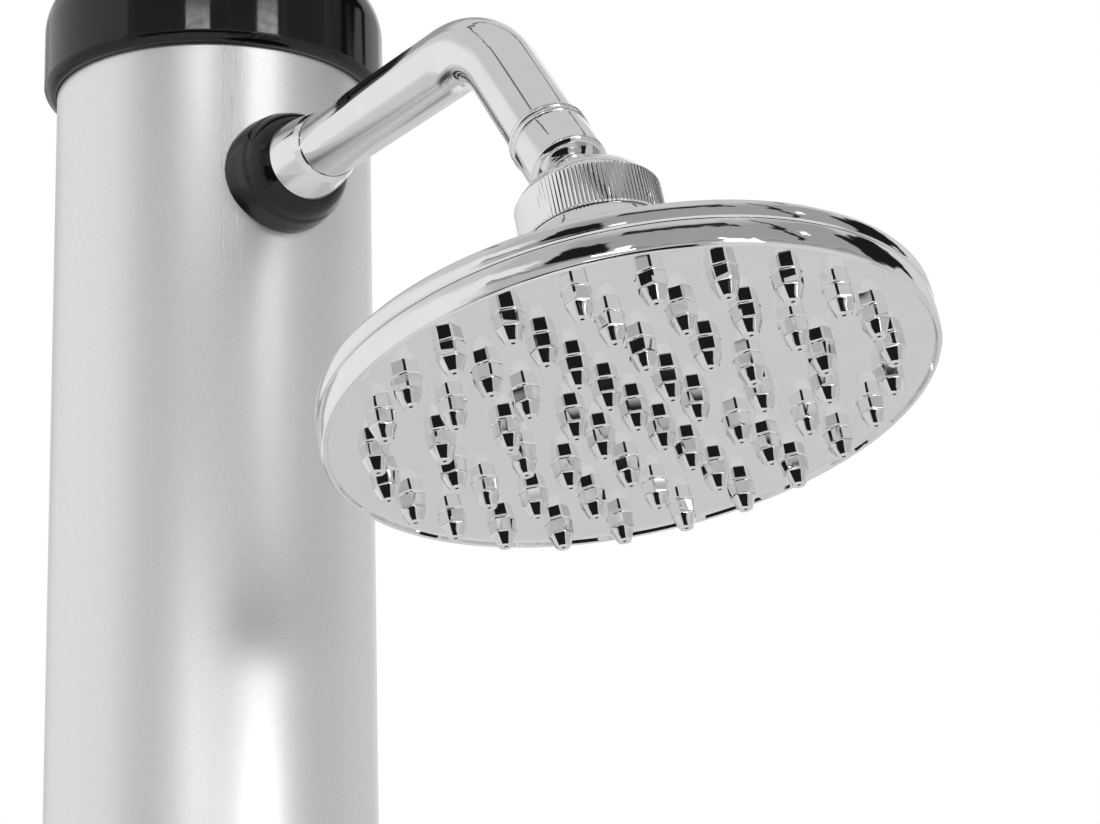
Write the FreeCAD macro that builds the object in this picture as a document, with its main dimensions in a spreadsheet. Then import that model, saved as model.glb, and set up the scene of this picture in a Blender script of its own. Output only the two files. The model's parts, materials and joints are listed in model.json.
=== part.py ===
import FreeCAD, Part
import math
import os
import Sketcher
from FreeCAD import Placement, Rotation, Vector

# Outdoor shower post: a satin aluminium column on a moulded base, with a black cap, a chrome arm and a round
# chrome shower head on a ball joint. Millimetres, +Z up. The origin is the centre of the base's underside and
# +X is the side that the arm and the mixer stand on.

doc = FreeCAD.newDocument("ShowerPost")
sheet = doc.addObject("Spreadsheet::Sheet", "Sizes")


class Size:
    """A number together with the sheet expression that gives it."""

    def __init__(self, value, text):
        self.value = float(value)
        self.text = text

    def join(self, other, sign, value):
        return Size(value, "(" + self.text + " " + sign + " " + as_size(other).text + ")")

    def __add__(self, other):
        return self.join(other, "+", self.value + as_size(other).value)

    def __sub__(self, other):
        return self.join(other, "-", self.value - as_size(other).value)

    def __mul__(self, other):
        return self.join(other, "*", self.value * as_size(other).value)

    def __truediv__(self, other):
        return self.join(other, "/", self.value / as_size(other).value)

    def __neg__(self):
        return Size(-self.value, "(-" + self.text + ")")


def as_size(number):
    return number if isinstance(number, Size) else Size(number, repr(float(number)))


def sine(angle):
    return Size(math.sin(math.radians(angle.value)), "sin(" + angle.text + ")")


def cosine(angle):
    return Size(math.cos(math.radians(angle.value)), "cos(" + angle.text + ")")


def tangent(angle):
    return Size(math.tan(math.radians(angle.value)), "tan(" + angle.text + ")")


def root(size):
    return Size(math.sqrt(size.value), "sqrt(" + size.text + ")")


def leg(slant, other_leg):
    """The second leg of a right triangle."""
    return root(slant * slant - as_size(other_leg) * other_leg)


ZERO = as_size(0)
sheet_rows = []


def size(alias, value, meaning):
    row = str(len(sheet_rows) + 1)
    sheet_rows.append(alias)
    sheet.set("A" + row, meaning)
    sheet.set("B" + row, str(value))
    sheet.setAlias("B" + row, alias)
    return Size(value, "Sizes." + alias)


# ---------------------------------------------------------------- driving dimensions
fit_gap = size("fit_gap", 0.1, "clearance between pieces that are fixed together")
run_gap = size("run_gap", 0.05, "radial clearance of a running fit")

base_radius = size("base_radius", 100, "radius of the base flange")
base_thickness = size("base_thickness", 12, "thickness of the base flange")
base_edge = size("base_edge", 4, "rounding of the flange's upper edge")
spigot_height = size("spigot_height", 50, "height of the base's spigot above the flange")
spigot_wall = size("spigot_wall", 5, "wall of the spigot")
anchor_circle = size("anchor_circle", 160, "diameter of the anchor holes' circle")
anchor_hole = size("anchor_hole", 9, "diameter of an anchor hole")
anchor_seat = size("anchor_seat", 19, "diameter of the recess round an anchor hole")
anchor_seat_depth = size("anchor_seat_depth", 3, "depth of that recess")
anchor_count = size("anchor_count", 4, "number of anchor holes")

post_radius = size("post_radius", 50.5, "outer radius of the column")
post_wall = size("post_wall", 2, "wall of the column")
post_length = size("post_length", 2140, "length of the column's tube")
foot_ring_height = size("foot_ring_height", 22, "height of the trim ring at the foot")
foot_ring_wall = size("foot_ring_wall", 5, "wall of the trim ring")
foot_screw_height = size("foot_screw_height", 46, "height of the foot screws")
foot_screw_radius = size("foot_screw_radius", 2.5, "radius of a foot screw's shank")
foot_screw_head = size("foot_screw_head", 4.75, "radius of a foot screw's head")
foot_screw_rise = size("foot_screw_rise", 2.8, "height of a foot screw's head")
foot_screw_grip = size("foot_screw_grip", 5, "length of a foot screw inside the spigot")

cap_overlap = size("cap_overlap", 11, "how far the cap's skirt comes down over the tube")
cap_rim = size("cap_rim", 2.8, "how far the cap stands out past the tube")
cap_bevel = size("cap_bevel", 2.6, "bevel under the cap's skirt")
cap_flank = size("cap_flank", 10, "height of the cap's upright flank")
cap_shoulder = size("cap_shoulder", 13, "radius of the cap's shoulder")
cap_slope = size("cap_slope", 20, "slope of the crown where it leaves the shoulder, degrees")
cap_wall = size("cap_wall", 2.6, "wall of the cap's crown")
cap_plug_depth = size("cap_plug_depth", 14, "depth of the cap's plug in the tube")
cap_plug_wall = size("cap_plug_wall", 2, "wall of the cap's plug")

arm_drop = size("arm_drop", 41, "arm's axis below the cap's skirt")
arm_radius = size("arm_radius", 9.7, "outer radius of the arm's tube")
arm_wall = size("arm_wall", 1.5, "wall of the arm's tube")
arm_inner_end = size("arm_inner_end", 29, "where the arm ends inside the column, from its axis")
arm_reach = size("arm_reach", 170.5, "from the column's axis to the elbow's corner")
arm_angle = size("arm_angle", 51.4, "slope of the arm's lower leg, degrees below level")
arm_leg = size("arm_leg", 75.8, "from the elbow's corner to the ball's centre")
arm_bend = size("arm_bend", 36, "radius of the elbow along the tube's axis")

grommet_radius = size("grommet_radius", 18.4, "radius of the arm's grommet at the column")
grommet_flank = size("grommet_flank", 7, "length of the grommet's flank")
grommet_step = size("grommet_step", 17, "radius of the grommet at the end of its flank")
grommet_length = size("grommet_length", 15.6, "how far the grommet stands out")
grommet_nose = size("grommet_nose", 13.1, "radius of the grommet's front")
grommet_neck = size("grommet_neck", 12.6, "radius of the grommet's neck in the wall")
grommet_neck_end = size("grommet_neck_end", 45, "inner end of the neck, from the column's axis")
collar_base = size("collar_base", 12.9, "radius of the arm collar at the grommet")
collar_end = size("collar_end", 10.9, "radius of the arm collar at its edge")
collar_length = size("collar_length", 11.6, "length of the arm collar's cone")
collar_bevel = size("collar_bevel", 2.2, "length of the arm collar's bevel")
arm_washer_radius = size("arm_washer_radius", 15, "radius of the washer behind the wall")
arm_washer_depth = size("arm_washer_depth", 2, "thickness of that washer")
arm_nut_flats = size("arm_nut_flats", 27, "width across the flats of the arm's nut")
arm_nut_depth = size("arm_nut_depth", 6, "thickness of the arm's nut")

ball_radius = size("ball_radius", 10, "radius of the ball")
ball_neck = size("ball_neck", 4.8, "radius of the neck above the ball")
ball_bore = size("ball_bore", 3, "radius of the water way through the ball")
stem_radius = size("stem_radius", 10.7, "radius of the ball stem's collar")
stem_foot = size("stem_foot", 10.3, "height of the collar's lower face over the ball's centre")
stem_foot_radius = size("stem_foot_radius", 8.6, "radius of the collar's lower face")
stem_bevel = size("stem_bevel", 1.9, "height of the collar's lower bevel")
stem_top = size("stem_top", 28.2, "height of the collar's upper edge over the ball's centre")
stem_floor = size("stem_floor", 16, "height of the socket's floor over the ball's centre")
bead_width = size("bead_width", 1.5, "width of one bead on the collar")
bead_radius = size("bead_radius", 0.85, "radius of a bead's section")

seat_thickness = size("seat_thickness", 0.5, "thickness of the seats round the ball")
seat_top = size("seat_top", 5, "upper edge of the seat ring over the ball's centre")
seat_bottom = size("seat_bottom", 0.5, "lower edge of the seat ring over the ball's centre")
seal_top = size("seal_top", 1.6, "upper edge of the ball seal under the ball's centre")
seal_bottom = size("seal_bottom", 8.5, "lower edge of the ball seal under the ball's centre")

nut_mouth = size("nut_mouth", 9.1, "radius of the coupling nut's mouth")
nut_lip = size("nut_lip", 0.35, "flat width of the mouth's lip")
nut_radius = size("nut_radius", 18.6, "radius of the coupling nut over its ribs")
nut_shoulder = size("nut_shoulder", 1.9, "upper end of the ribs under the ball's centre")
nut_dome = size("nut_dome", 20, "radius of the nut's domed shoulder")
nut_bottom = size("nut_bottom", 11.7, "lower face of the nut under the ball's centre")
nut_foot = size("nut_foot", 17.6, "radius of the nut at its lower face")
nut_step = size("nut_step", 0.8, "step inside the nut under the ball's centre")
thread_radius = size("thread_radius", 14, "radius of the nut's thread")
rib_count = size("rib_count", 108, "number of fine ribs round the nut")
rib_depth = size("rib_depth", 0.45, "depth of the grooves between the ribs")
rib_width = size("rib_width", 0.72, "width of the grooves between the ribs")

head_lean = size("head_lean", 14.86, "lean of the head in the arm's plane, degrees")
head_side = size("head_side", 1.18, "lean of the head across that plane, degrees")
rim_radius = size("rim_radius", 75, "radius of the head's lower band")
rim_flare = size("rim_flare", 0.3, "how far the upper band stands out past it")
tip_depth = size("tip_depth", 66.9, "outer nozzle tips under the ball's centre")
nozzle_height = size("nozzle_height", 7.2, "height of a nozzle")
nozzle_knee = size("nozzle_knee", 3.6, "height of a nozzle's flank up to its knee")
nozzle_foot_radius = size("nozzle_foot_radius", 3.75, "corner radius of a nozzle at the face")
nozzle_knee_radius = size("nozzle_knee_radius", 3.45, "corner radius of a nozzle at its knee")
nozzle_tip_radius = size("nozzle_tip_radius", 1.95, "corner radius of a nozzle's tip")
nozzle_hole = size("nozzle_hole", 0.5, "radius of a nozzle's hole")
outer_ring = size("outer_ring", 62.37, "radius of the outer ring of nozzles")
ring_pitch = size("ring_pitch", 15.85, "distance between the rings of nozzles")
ring_phase = size("ring_phase", 0.78, "where every ring starts, degrees from the arm's plane")
ring_step = size("ring_step", 6, "nozzles that each ring has more than the one inside it")
dish_radius = size("dish_radius", 66, "radius of the face's dished part")
dish_depth = size("dish_depth", 1.05, "depth of the dish")
face_thickness = size("face_thickness", 2.2, "thickness of the face")
lip_rise = size("lip_rise", 1.1, "how far the rim's lip stands proud of the face")
lip_width = size("lip_width", 0.7, "width of the lip's flat")
lip_slope = size("lip_slope", 0.6, "width and height of the lip's outer slope")
band_height = size("band_height", 6.9, "height of the lower band")
upper_band = size("upper_band", 4.6, "height of the upper band")
band_groove = size("band_groove", 0.35, "depth of the groove between the bands")
cup_wall = size("cup_wall", 2.5, "wall of the spray face's rim")
shell_wall = size("shell_wall", 2.3, "wall of the head's back shell")
spigot_depth = size("spigot_depth", 3, "how far the back shell reaches into the rim")
shoulder_edge = size("shoulder_edge", 1.6, "rounding of the upper band's back edge")
back_slope = size("back_slope", 19.4, "slope of the back shell's flat cone, degrees")
sweep_radius = size("sweep_radius", 50, "radius of the sweep from the cone up to the nut")
sweep_side = size("sweep_side", 62.6, "centre of that sweep, from the head's axis")
sweep_rise = size("sweep_rise", 7.4, "centre of that sweep over the ball's centre")
neck_ledge = size("neck_ledge", 1.2, "height of the gap between the nut and the shell")
neck_top = size("neck_top", 1, "top of the threaded neck under the ball's centre")
neck_bore = size("neck_bore", 5, "radius of the neck's water way")
filter_radius = size("filter_radius", 8, "radius of the filter disc")
filter_depth = size("filter_depth", 1.6, "thickness of the filter disc")
filter_seat = size("filter_seat", 18, "filter's seat under the ball's centre")
filter_hole = size("filter_hole", 0.9, "radius of a filter hole")
filter_holes = size("filter_holes", 8, "number of filter holes")
neck_end = size("neck_end", 22, "end of the thick neck under the ball's centre")

mixer_height = size("mixer_height", 1100, "height of the mixer's axis")
plate_radius = size("plate_radius", 33, "radius of the mixer's wall plate")
plate_depth = size("plate_depth", 9, "how far the wall plate stands out")
plate_edge = size("plate_edge", 3, "height of the wall plate's upright edge")
gasket_thickness = size("gasket_thickness", 1.5, "thickness of the gasket under the wall plate")
mixer_radius = size("mixer_radius", 19.5, "radius of the mixer's body")
mixer_inner_end = size("mixer_inner_end", 17, "inner end of the body, from the column's axis")
mixer_wall = size("mixer_wall", 2, "wall of the body round the cartridge")
lever_pivot = size("lever_pivot", 84, "lever's pivot, from the column's axis")
body_dome = size("body_dome", 20.5, "radius of the body's rounded front")
cartridge_depth = size("cartridge_depth", 27, "length of the cartridge")
cartridge_front = size("cartridge_front", 4.5, "front of the cartridge behind the pivot")
ring_nut_front = size("ring_nut_front", 5, "front of the ring nut before the pivot")
ring_nut_bore = size("ring_nut_bore", 13.5, "bore of the ring nut")
carrier_radius = size("carrier_radius", 12, "radius of the turning carrier")
carrier_front = size("carrier_front", 3, "front of the carrier before the pivot")
stem_square = size("stem_square", 7, "width of the cartridge's stem")
stem_back = size("stem_back", 1.5, "inner end of the stem behind the pivot")
stem_front = size("stem_front", 19, "outer end of the stem before the pivot")
carrier_slot = size("carrier_slot", 12, "length of the slot that the stem rocks in")
pin_radius = size("pin_radius", 1.25, "radius of the stem's pin")
hub_gap = size("hub_gap", 1.1, "gap between the body's front and the lever's hub")
hub_wall = size("hub_wall", 3, "wall of the lever's hub")
hub_open = size("hub_open", 72, "how far round the hub reaches, degrees")
boss_radius = size("boss_radius", 6.5, "radius of the hub's inner boss")
boss_back = size("boss_back", 12, "inner end of the boss before the pivot")
handle_length = size("handle_length", 98, "end of the lever's bar, from the pivot")
handle_gap = size("handle_gap", 0.8, "gap between the bar's root and the body's front inside the hub")
handle_root_width = size("handle_root_width", 15, "width of the bar at the hub")
handle_tip_width = size("handle_tip_width", 11, "width of the bar at its tip")
handle_root_depth = size("handle_root_depth", 9, "thickness of the bar at the hub")
handle_tip_depth = size("handle_tip_depth", 6, "thickness of the bar at its tip")
handle_root_out = size("handle_root_out", 15, "how far the bar's root lies before the pivot")
handle_tip_out = size("handle_tip_out", 27, "how far the bar's tip lies before the pivot")
plug_radius = size("plug_radius", 4, "radius of the hub's plug")
plug_depth = size("plug_depth", 1.6, "depth of the hub's plug")
lever_screw_radius = size("lever_screw_radius", 2, "radius of the lever's screw")

port_offset = size("port_offset", 26, "axis of the mixer's ports, from the column's axis")
port_spread = size("port_spread", 9.5, "upper ports to each side of the arm's plane")
port_radius = size("port_radius", 8.2, "radius of a port")
port_end = size("port_end", 32, "end of a port, from the mixer's axis")
port_grip = size("port_grip", 9, "how far a pipe goes into a port")
pipe_radius = size("pipe_radius", 6, "outer radius of the inner pipes")
pipe_wall = size("pipe_wall", 1.5, "wall of the inner pipes")
pipe_bend = size("pipe_bend", 18, "radius of the inner pipes' bends")

tank_radius = size("tank_radius", 30, "radius of the tank")
tank_offset = size("tank_offset", 16, "tank's axis behind the column's axis")
tank_bottom = size("tank_bottom", 150, "lower end of the tank")
tank_top = size("tank_top", 1980, "upper end of the tank")
tank_wall = size("tank_wall", 2, "wall of the tank")
tank_shoulder = size("tank_shoulder", 12, "height of the tank's shoulders")
nipple_length = size("nipple_length", 14, "length of the tank's nipples")
hot_turn_rise = size("hot_turn_rise", 34, "hot pipe's turn over the tank's top")
spacer_thickness = size("spacer_thickness", 8, "thickness of a tank spacer")
spacer_low = size("spacer_low", 330, "height of the lowest spacer")
spacer_step = size("spacer_step", 500, "distance between the spacers")

inlet_height = size("inlet_height", 84, "height of the water inlet")
inlet_thread = size("inlet_thread", 10.3, "radius of the inlet's thread in the wall")
inlet_flange = size("inlet_flange", 17, "radius of the inlet's flange")
inlet_flange_depth = size("inlet_flange_depth", 4, "thickness of the inlet's flange")
inlet_tail = size("inlet_tail", 13.2, "radius of the inlet's outer thread")
inlet_tail_length = size("inlet_tail_length", 16, "length of the inlet's outer thread")
inlet_bore = size("inlet_bore", 6.5, "radius of the inlet's bore")
inlet_inner_end = size("inlet_inner_end", 30, "inner end of the inlet, from the column's axis")
inlet_seal_depth = size("inlet_seal_depth", 2, "thickness of the inlet's seal")
inlet_nut_flats = size("inlet_nut_flats", 30, "width across the flats of the inlet's nut")
inlet_nut_depth = size("inlet_nut_depth", 6, "thickness of the inlet's nut")
tee_radius = size("tee_radius", 9, "radius of the tee's arms")
tee_front = size("tee_front", 7, "front end of the tee, from the column's axis")
tee_rise = size("tee_rise", 26, "height of the tee's upright arm over its axis")

# ---------------------------------------------------------------- sizes that follow from them
post_inner = post_radius - post_wall
post_top = base_thickness + post_length
cap_seat = post_top - cap_overlap
arm_height = cap_seat - arm_drop
ball_x = arm_reach + arm_leg * cosine(arm_angle)
ball_z = arm_height - arm_leg * sine(arm_angle)
seat_inner = ball_radius + run_gap
seat_outer = seat_inner + seat_thickness
socket_radius = seat_outer + run_gap
face_level = nozzle_height - tip_depth
lip_level = face_level - lip_rise
groove_level = lip_level + band_height
back_level = groove_level + upper_band
hub_inner = body_dome + hub_gap
hub_outer = hub_inner + hub_wall
body_bore = mixer_radius - mixer_wall
tank_nipple = pipe_radius + pipe_wall + fit_gap


# ---------------------------------------------------------------- drawing helpers
def origin_plane(body, role):
    return [item for item in body.Origin.OriginFeatures if item.Role == role][0]


def new_body(label):
    body = doc.addObject("PartDesign::Body", label)
    body.Label = label
    return body


def new_sketch(body, plane, lift=ZERO, name="Outline"):
    """A sketch on one of the body's own planes, lifted along that plane's normal."""
    sketch = body.newObject("Sketcher::SketchObject", body.Label + "_" + name)
    sketch.AttachmentSupport = [(origin_plane(body, plane), "")]
    sketch.MapMode = "FlatFace"
    sketch.AttachmentOffset = Placement(Vector(0, 0, lift.value), Rotation())
    if lift is not ZERO:
        sketch.setExpression("AttachmentOffset.Base.z", lift.text)
    return sketch


def pin_point(sketch, edge, end, point, tag):
    """Ties one end of an edge to a place given by two sizes."""
    for axis, kind, amount in (("across_", "DistanceX", point[0]), ("upward_", "DistanceY", point[1])):
        index = sketch.addConstraint(Sketcher.Constraint(kind, -1, 1, edge, end, as_size(amount).value))
        sketch.renameConstraint(index, axis + tag)
        sketch.setExpression("Constraints." + axis + tag, as_size(amount).text)


def arc_between(start, end, radius, turn):
    """An arc from start to end. A turn of 1 leaves its centre on the left, -1 on the right."""
    chord = end - start
    half = chord.Length / 2
    across = Vector(-chord.y, chord.x, 0).normalize() * turn
    sag = radius - math.sqrt(max(radius * radius - half * half, 0))
    crest = start + chord * 0.5 - across * sag
    return Part.Arc(start, crest, end) if turn > 0 else Part.Arc(end, crest, start)


def draw_loop(sketch, corners, tag=""):
    """A closed outline. A corner is (x, y), or (x, y, radius, turn) where an arc leads on from it."""
    spots = [Vector(as_size(c[0]).value, as_size(c[1]).value, 0) for c in corners]
    first = sketch.GeometryCount
    ends = []
    for i, corner in enumerate(corners):
        start, stop = spots[i], spots[(i + 1) % len(corners)]
        edge = Part.LineSegment(start, stop)
        if len(corner) == 4:
            edge = arc_between(start, stop, as_size(corner[2]).value, corner[3])
        index = sketch.addGeometry(edge, False)
        drawn = sketch.Geometry[index]
        forward = drawn.StartPoint.distanceToPoint(start) < drawn.StartPoint.distanceToPoint(stop)
        ends.append((1, 2) if forward else (2, 1))
    for i, corner in enumerate(corners):
        after = (i + 1) % len(corners)
        sketch.addConstraint(Sketcher.Constraint("Coincident", first + i, ends[i][1], first + after, ends[after][0]))
        pin_point(sketch, first + i, ends[i][0], corner, tag + str(i))
        if len(corner) == 4:
            radius = as_size(corner[2])
            index = sketch.addConstraint(Sketcher.Constraint("Radius", first + i, radius.value))
            sketch.renameConstraint(index, "round_" + tag + str(i))
            sketch.setExpression("Constraints.round_" + tag + str(i), radius.text)


def draw_circle(sketch, centre, radius, tag=""):
    middle = Vector(as_size(centre[0]).value, as_size(centre[1]).value, 0)
    edge = sketch.addGeometry(Part.Circle(middle, Vector(0, 0, 1), as_size(radius).value), False)
    pin_point(sketch, edge, 3, centre, tag + "c")
    index = sketch.addConstraint(Sketcher.Constraint("Radius", edge, as_size(radius).value))
    sketch.renameConstraint(index, "round_" + tag)
    sketch.setExpression("Constraints.round_" + tag, as_size(radius).text)


def draw_polygon(sketch, sides, radius, turn=ZERO, centre=(ZERO, ZERO)):
    """A regular polygon with its corners on a circle."""
    corners = []
    for i in range(sides):
        angle = turn + 360.0 * i / sides
        corners.append((centre[0] + radius * cosine(angle), centre[1] + radius * sine(angle)))
    draw_loop(sketch, corners)


def turned(label, outline, axis="V_Axis"):
    """A body turned from an outline in the XZ plane, about Z (V_Axis) or X (H_Axis)."""
    body = new_body(label)
    turn_more(body, outline, axis, "Outline")
    return body


def turn_more(body, outline, axis, name, kind="PartDesign::Revolution"):
    sketch = new_sketch(body, "XZ_Plane", ZERO, name)
    draw_loop(sketch, outline)
    feature = body.newObject(kind, body.Label + "_" + name + "_turn")
    feature.Profile = sketch
    feature.ReferenceAxis = (sketch, [axis])
    feature.Angle = 360
    return feature


def pad(body, sketch, length, reversed_way=False, midplane=False):
    feature = body.newObject("PartDesign::Pad", sketch.Name + "_pad")
    feature.Profile = sketch
    feature.Length = as_size(length).value
    feature.setExpression("Length", as_size(length).text)
    feature.Reversed = reversed_way
    feature.Midplane = midplane
    return feature


def pocket(body, sketch, length, reversed_way=False, midplane=False):
    """Cuts along the sketch, and stops if nothing was cut away."""
    doc.recompute()
    before = body.Shape.Volume
    feature = body.newObject("PartDesign::Pocket", sketch.Name + "_cut")
    feature.Profile = sketch
    feature.Length = as_size(length).value
    feature.setExpression("Length", as_size(length).text)
    feature.Reversed = reversed_way
    feature.Midplane = midplane
    doc.recompute()
    if body.Shape.Volume > before - 1e-6:
        raise RuntimeError(sketch.Name + " cuts nothing")
    return feature


def polar(body, features, count, axis="Z_Axis"):
    pattern = body.newObject("PartDesign::PolarPattern", features[0].Name + "_ring")
    pattern.Originals = features
    pattern.Axis = (origin_plane(body, axis), [""])
    pattern.Angle = 360
    pattern.Occurrences = int(round(as_size(count).value))
    pattern.setExpression("Occurrences", as_size(count).text)
    body.Tip = pattern
    return pattern


def put(piece, x, y, z, pitch=ZERO, roll=ZERO):
    """Places a piece: rolled about X, then pitched about Y, then moved."""
    spot = "vector(" + "; ".join(as_size(n).text for n in (x, y, z)) + ")"
    turn = "rotation(0; " + pitch.text + "; " + roll.text + ")"
    piece.setExpression("Placement", "placement(" + spot + "; " + turn + ")")
    return piece


def put_on_arm(piece):
    """Stands a piece on the ball's centre, with its Z axis back up the arm's lower leg."""
    return put(piece, ball_x, ZERO, ball_z, pitch=arm_angle - 90)


def put_on_head(piece):
    """Stands a piece on the ball's centre, with its Z axis along the head's own axis."""
    return put(piece, ball_x, ZERO, ball_z, pitch=-head_lean, roll=head_side)


def wall_hole(body, height, radius, name, front=True):
    """A hole through one side of the column's wall."""
    sketch = new_sketch(body, "YZ_Plane", ZERO, name)
    draw_circle(sketch, (ZERO, height), radius)
    return pocket(body, sketch, post_radius + post_wall, reversed_way=front)


def saddle_cut(body, radius, reach):
    """Cuts the back of a fitting to the column's roundness."""
    sketch = new_sketch(body, "XY_Plane", ZERO, "Saddle")
    draw_circle(sketch, (ZERO, ZERO), radius)
    return pocket(body, sketch, reach, midplane=True)


def straight_run(start, end):
    return Part.LineSegment(start, end)


def draw_route(sketch, stops, radius):
    """An open route of straight runs with round corners of one radius, all square to the axes."""
    spots = [Vector(as_size(s[0]).value, as_size(s[1]).value, 0) for s in stops]
    bend = as_size(radius)
    entries = [stops[0]]
    for i in range(1, len(stops) - 1):
        for neighbour in (i - 1, i + 1):
            way = (spots[neighbour] - spots[i]).normalize()
            entries.append((as_size(stops[i][0]) + bend * round(way.x), as_size(stops[i][1]) + bend * round(way.y)))
    entries.append(stops[-1])
    places = [Vector(as_size(e[0]).value, as_size(e[1]).value, 0) for e in entries]
    ends = []
    for i in range(len(entries) - 1):
        start, stop = places[i], places[i + 1]
        edge = straight_run(start, stop)
        if i % 2 == 1:
            corner = spots[(i + 1) // 2]
            turn = 1 if (corner - start).cross(stop - corner).z > 0 else -1
            edge = arc_between(start, stop, bend.value, turn)
        index = sketch.addGeometry(edge, False)
        drawn = sketch.Geometry[index]
        forward = drawn.StartPoint.distanceToPoint(start) < drawn.StartPoint.distanceToPoint(stop)
        ends.append((1, 2) if forward else (2, 1))
    for i in range(len(ends)):
        pin_point(sketch, i, ends[i][0], entries[i], "s" + str(i))
        if i % 2 == 1:
            index = sketch.addConstraint(Sketcher.Constraint("Radius", i, bend.value))
            sketch.renameConstraint(index, "bend" + str(i))
            sketch.setExpression("Constraints.bend" + str(i), bend.text)
        if i:
            sketch.addConstraint(Sketcher.Constraint("Coincident", i - 1, ends[i - 1][1], i, ends[i][0]))
    last = len(ends) - 1
    pin_point(sketch, last, ends[last][1], entries[-1], "e")


def swept(body, section, route):
    feature = body.newObject("PartDesign::AdditivePipe", body.Label + "_sweep")
    feature.Profile = section
    feature.Spine = route
    return feature


# ---------------------------------------------------------------- foot and column
def base_plate():
    spigot_outer = post_inner - fit_gap
    outline = [
        (ZERO, ZERO), (base_radius, ZERO), (base_radius, base_thickness - base_edge, base_edge, 1),
        (base_radius - base_edge, base_thickness), (spigot_outer, base_thickness),
        (spigot_outer, base_thickness + spigot_height - 2), (spigot_outer - 2, base_thickness + spigot_height),
        (spigot_outer - spigot_wall, base_thickness + spigot_height),
        (spigot_outer - spigot_wall, base_thickness), (ZERO, base_thickness)]
    body = turned("base_plate", outline)
    hole = new_sketch(body, "XY_Plane", ZERO, "Anchor")
    draw_circle(hole, (anchor_circle / 2 * cosine(as_size(45)), anchor_circle / 2 * sine(as_size(45))), anchor_hole / 2)
    drilled = pocket(body, hole, base_thickness, reversed_way=True)
    seat = new_sketch(body, "XY_Plane", base_thickness, "Seat")
    draw_circle(seat, (anchor_circle / 2 * cosine(as_size(45)), anchor_circle / 2 * sine(as_size(45))), anchor_seat / 2)
    sunk = pocket(body, seat, anchor_seat_depth)
    polar(body, [drilled, sunk], anchor_count)
    screws = new_sketch(body, "YZ_Plane", ZERO, "Screw")
    draw_circle(screws, (ZERO, foot_screw_height), foot_screw_radius + fit_gap)
    tapped = pocket(body, screws, post_radius, reversed_way=True)
    polar(body, [tapped], 3)
    return body


def foot_ring():
    inner = post_radius + fit_gap
    outer = inner + foot_ring_wall
    body = turned("foot_ring", [
        (inner, ZERO), (outer, ZERO), (outer, foot_ring_height - 3, as_size(3), 1), (outer - 3, foot_ring_height),
        (inner, foot_ring_height)])
    return put(body, ZERO, ZERO, base_thickness)


def post_tube():
    body = new_body("post_tube")
    sketch = new_sketch(body, "XY_Plane")
    draw_circle(sketch, (ZERO, ZERO), post_radius, "outer")
    draw_circle(sketch, (ZERO, ZERO), post_inner, "inner")
    pad(body, sketch, post_length)
    wall_hole(body, arm_height - base_thickness, grommet_neck + fit_gap, "Arm")
    wall_hole(body, mixer_height - base_thickness, mixer_radius + fit_gap, "Mixer")
    wall_hole(body, inlet_height - base_thickness, inlet_thread + fit_gap, "Inlet", front=False)
    screw = wall_hole(body, foot_screw_height - base_thickness, foot_screw_radius + fit_gap, "Screw")
    polar(body, [screw], 3)
    return put(body, ZERO, ZERO, base_thickness)


def foot_screws():
    """Three pan-head screws that hold the tube to the spigot, each its own solid."""
    start = post_inner - fit_gap - foot_screw_grip
    shank = doc.addObject("Part::Cylinder", "screw_shank")
    head = doc.addObject("Part::Cylinder", "screw_head")
    for piece, radius, low, length in (
            (shank, foot_screw_radius, start, post_radius + fit_gap - start),
            (head, foot_screw_head, post_radius + fit_gap, foot_screw_rise)):
        piece.setExpression("Radius", radius.text)
        piece.setExpression("Height", length.text)
        piece.Placement = Placement(Vector(low.value, 0, 0), Rotation(Vector(0, 1, 0), 90))
        piece.setExpression("Placement.Base.x", low.text)
    screw = doc.addObject("Part::Fuse", "screw_whole")
    screw.Base = head
    screw.Tool = shank
    turns = []
    for i in range(3):
        copy = doc.addObject("Part::Compound", "screw_turn_" + str(i))
        copy.Links = [screw]
        copy.Placement = Placement(Vector(0, 0, 0), Rotation(Vector(0, 0, 1), 120 * i))
        copy.setExpression("Placement.Base.z", foot_screw_height.text)
        turns.append(copy)
    group = doc.addObject("Part::Compound", "foot_screws")
    group.Label = "foot_screws"
    group.Links = turns
    return group


def post_cap():
    bore = post_radius + fit_gap
    outer = post_radius + cap_rim
    plug_outer = post_inner - fit_gap
    plug_inner = plug_outer - cap_plug_wall
    knuckle_x = outer - cap_shoulder + cap_shoulder * sine(cap_slope)
    knuckle_z = cap_flank + cap_shoulder * cosine(cap_slope)
    crown = knuckle_x / sine(cap_slope)
    apex = knuckle_z + crown - crown * cosine(cap_slope)
    body = turned("post_cap", [
        (bore, ZERO), (outer - cap_bevel, ZERO, cap_bevel * 1.4, 1), (outer, cap_bevel),
        (outer, cap_flank, cap_shoulder, 1), (knuckle_x, knuckle_z, crown, 1), (ZERO, apex),
        (ZERO, apex - cap_wall), (plug_inner - 6, cap_overlap + 8), (plug_inner, cap_overlap + 3),
        (plug_inner, cap_overlap - cap_plug_depth), (plug_outer, cap_overlap - cap_plug_depth),
        (plug_outer, cap_overlap), (bore, cap_overlap)])
    return put(body, ZERO, ZERO, cap_seat)


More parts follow.
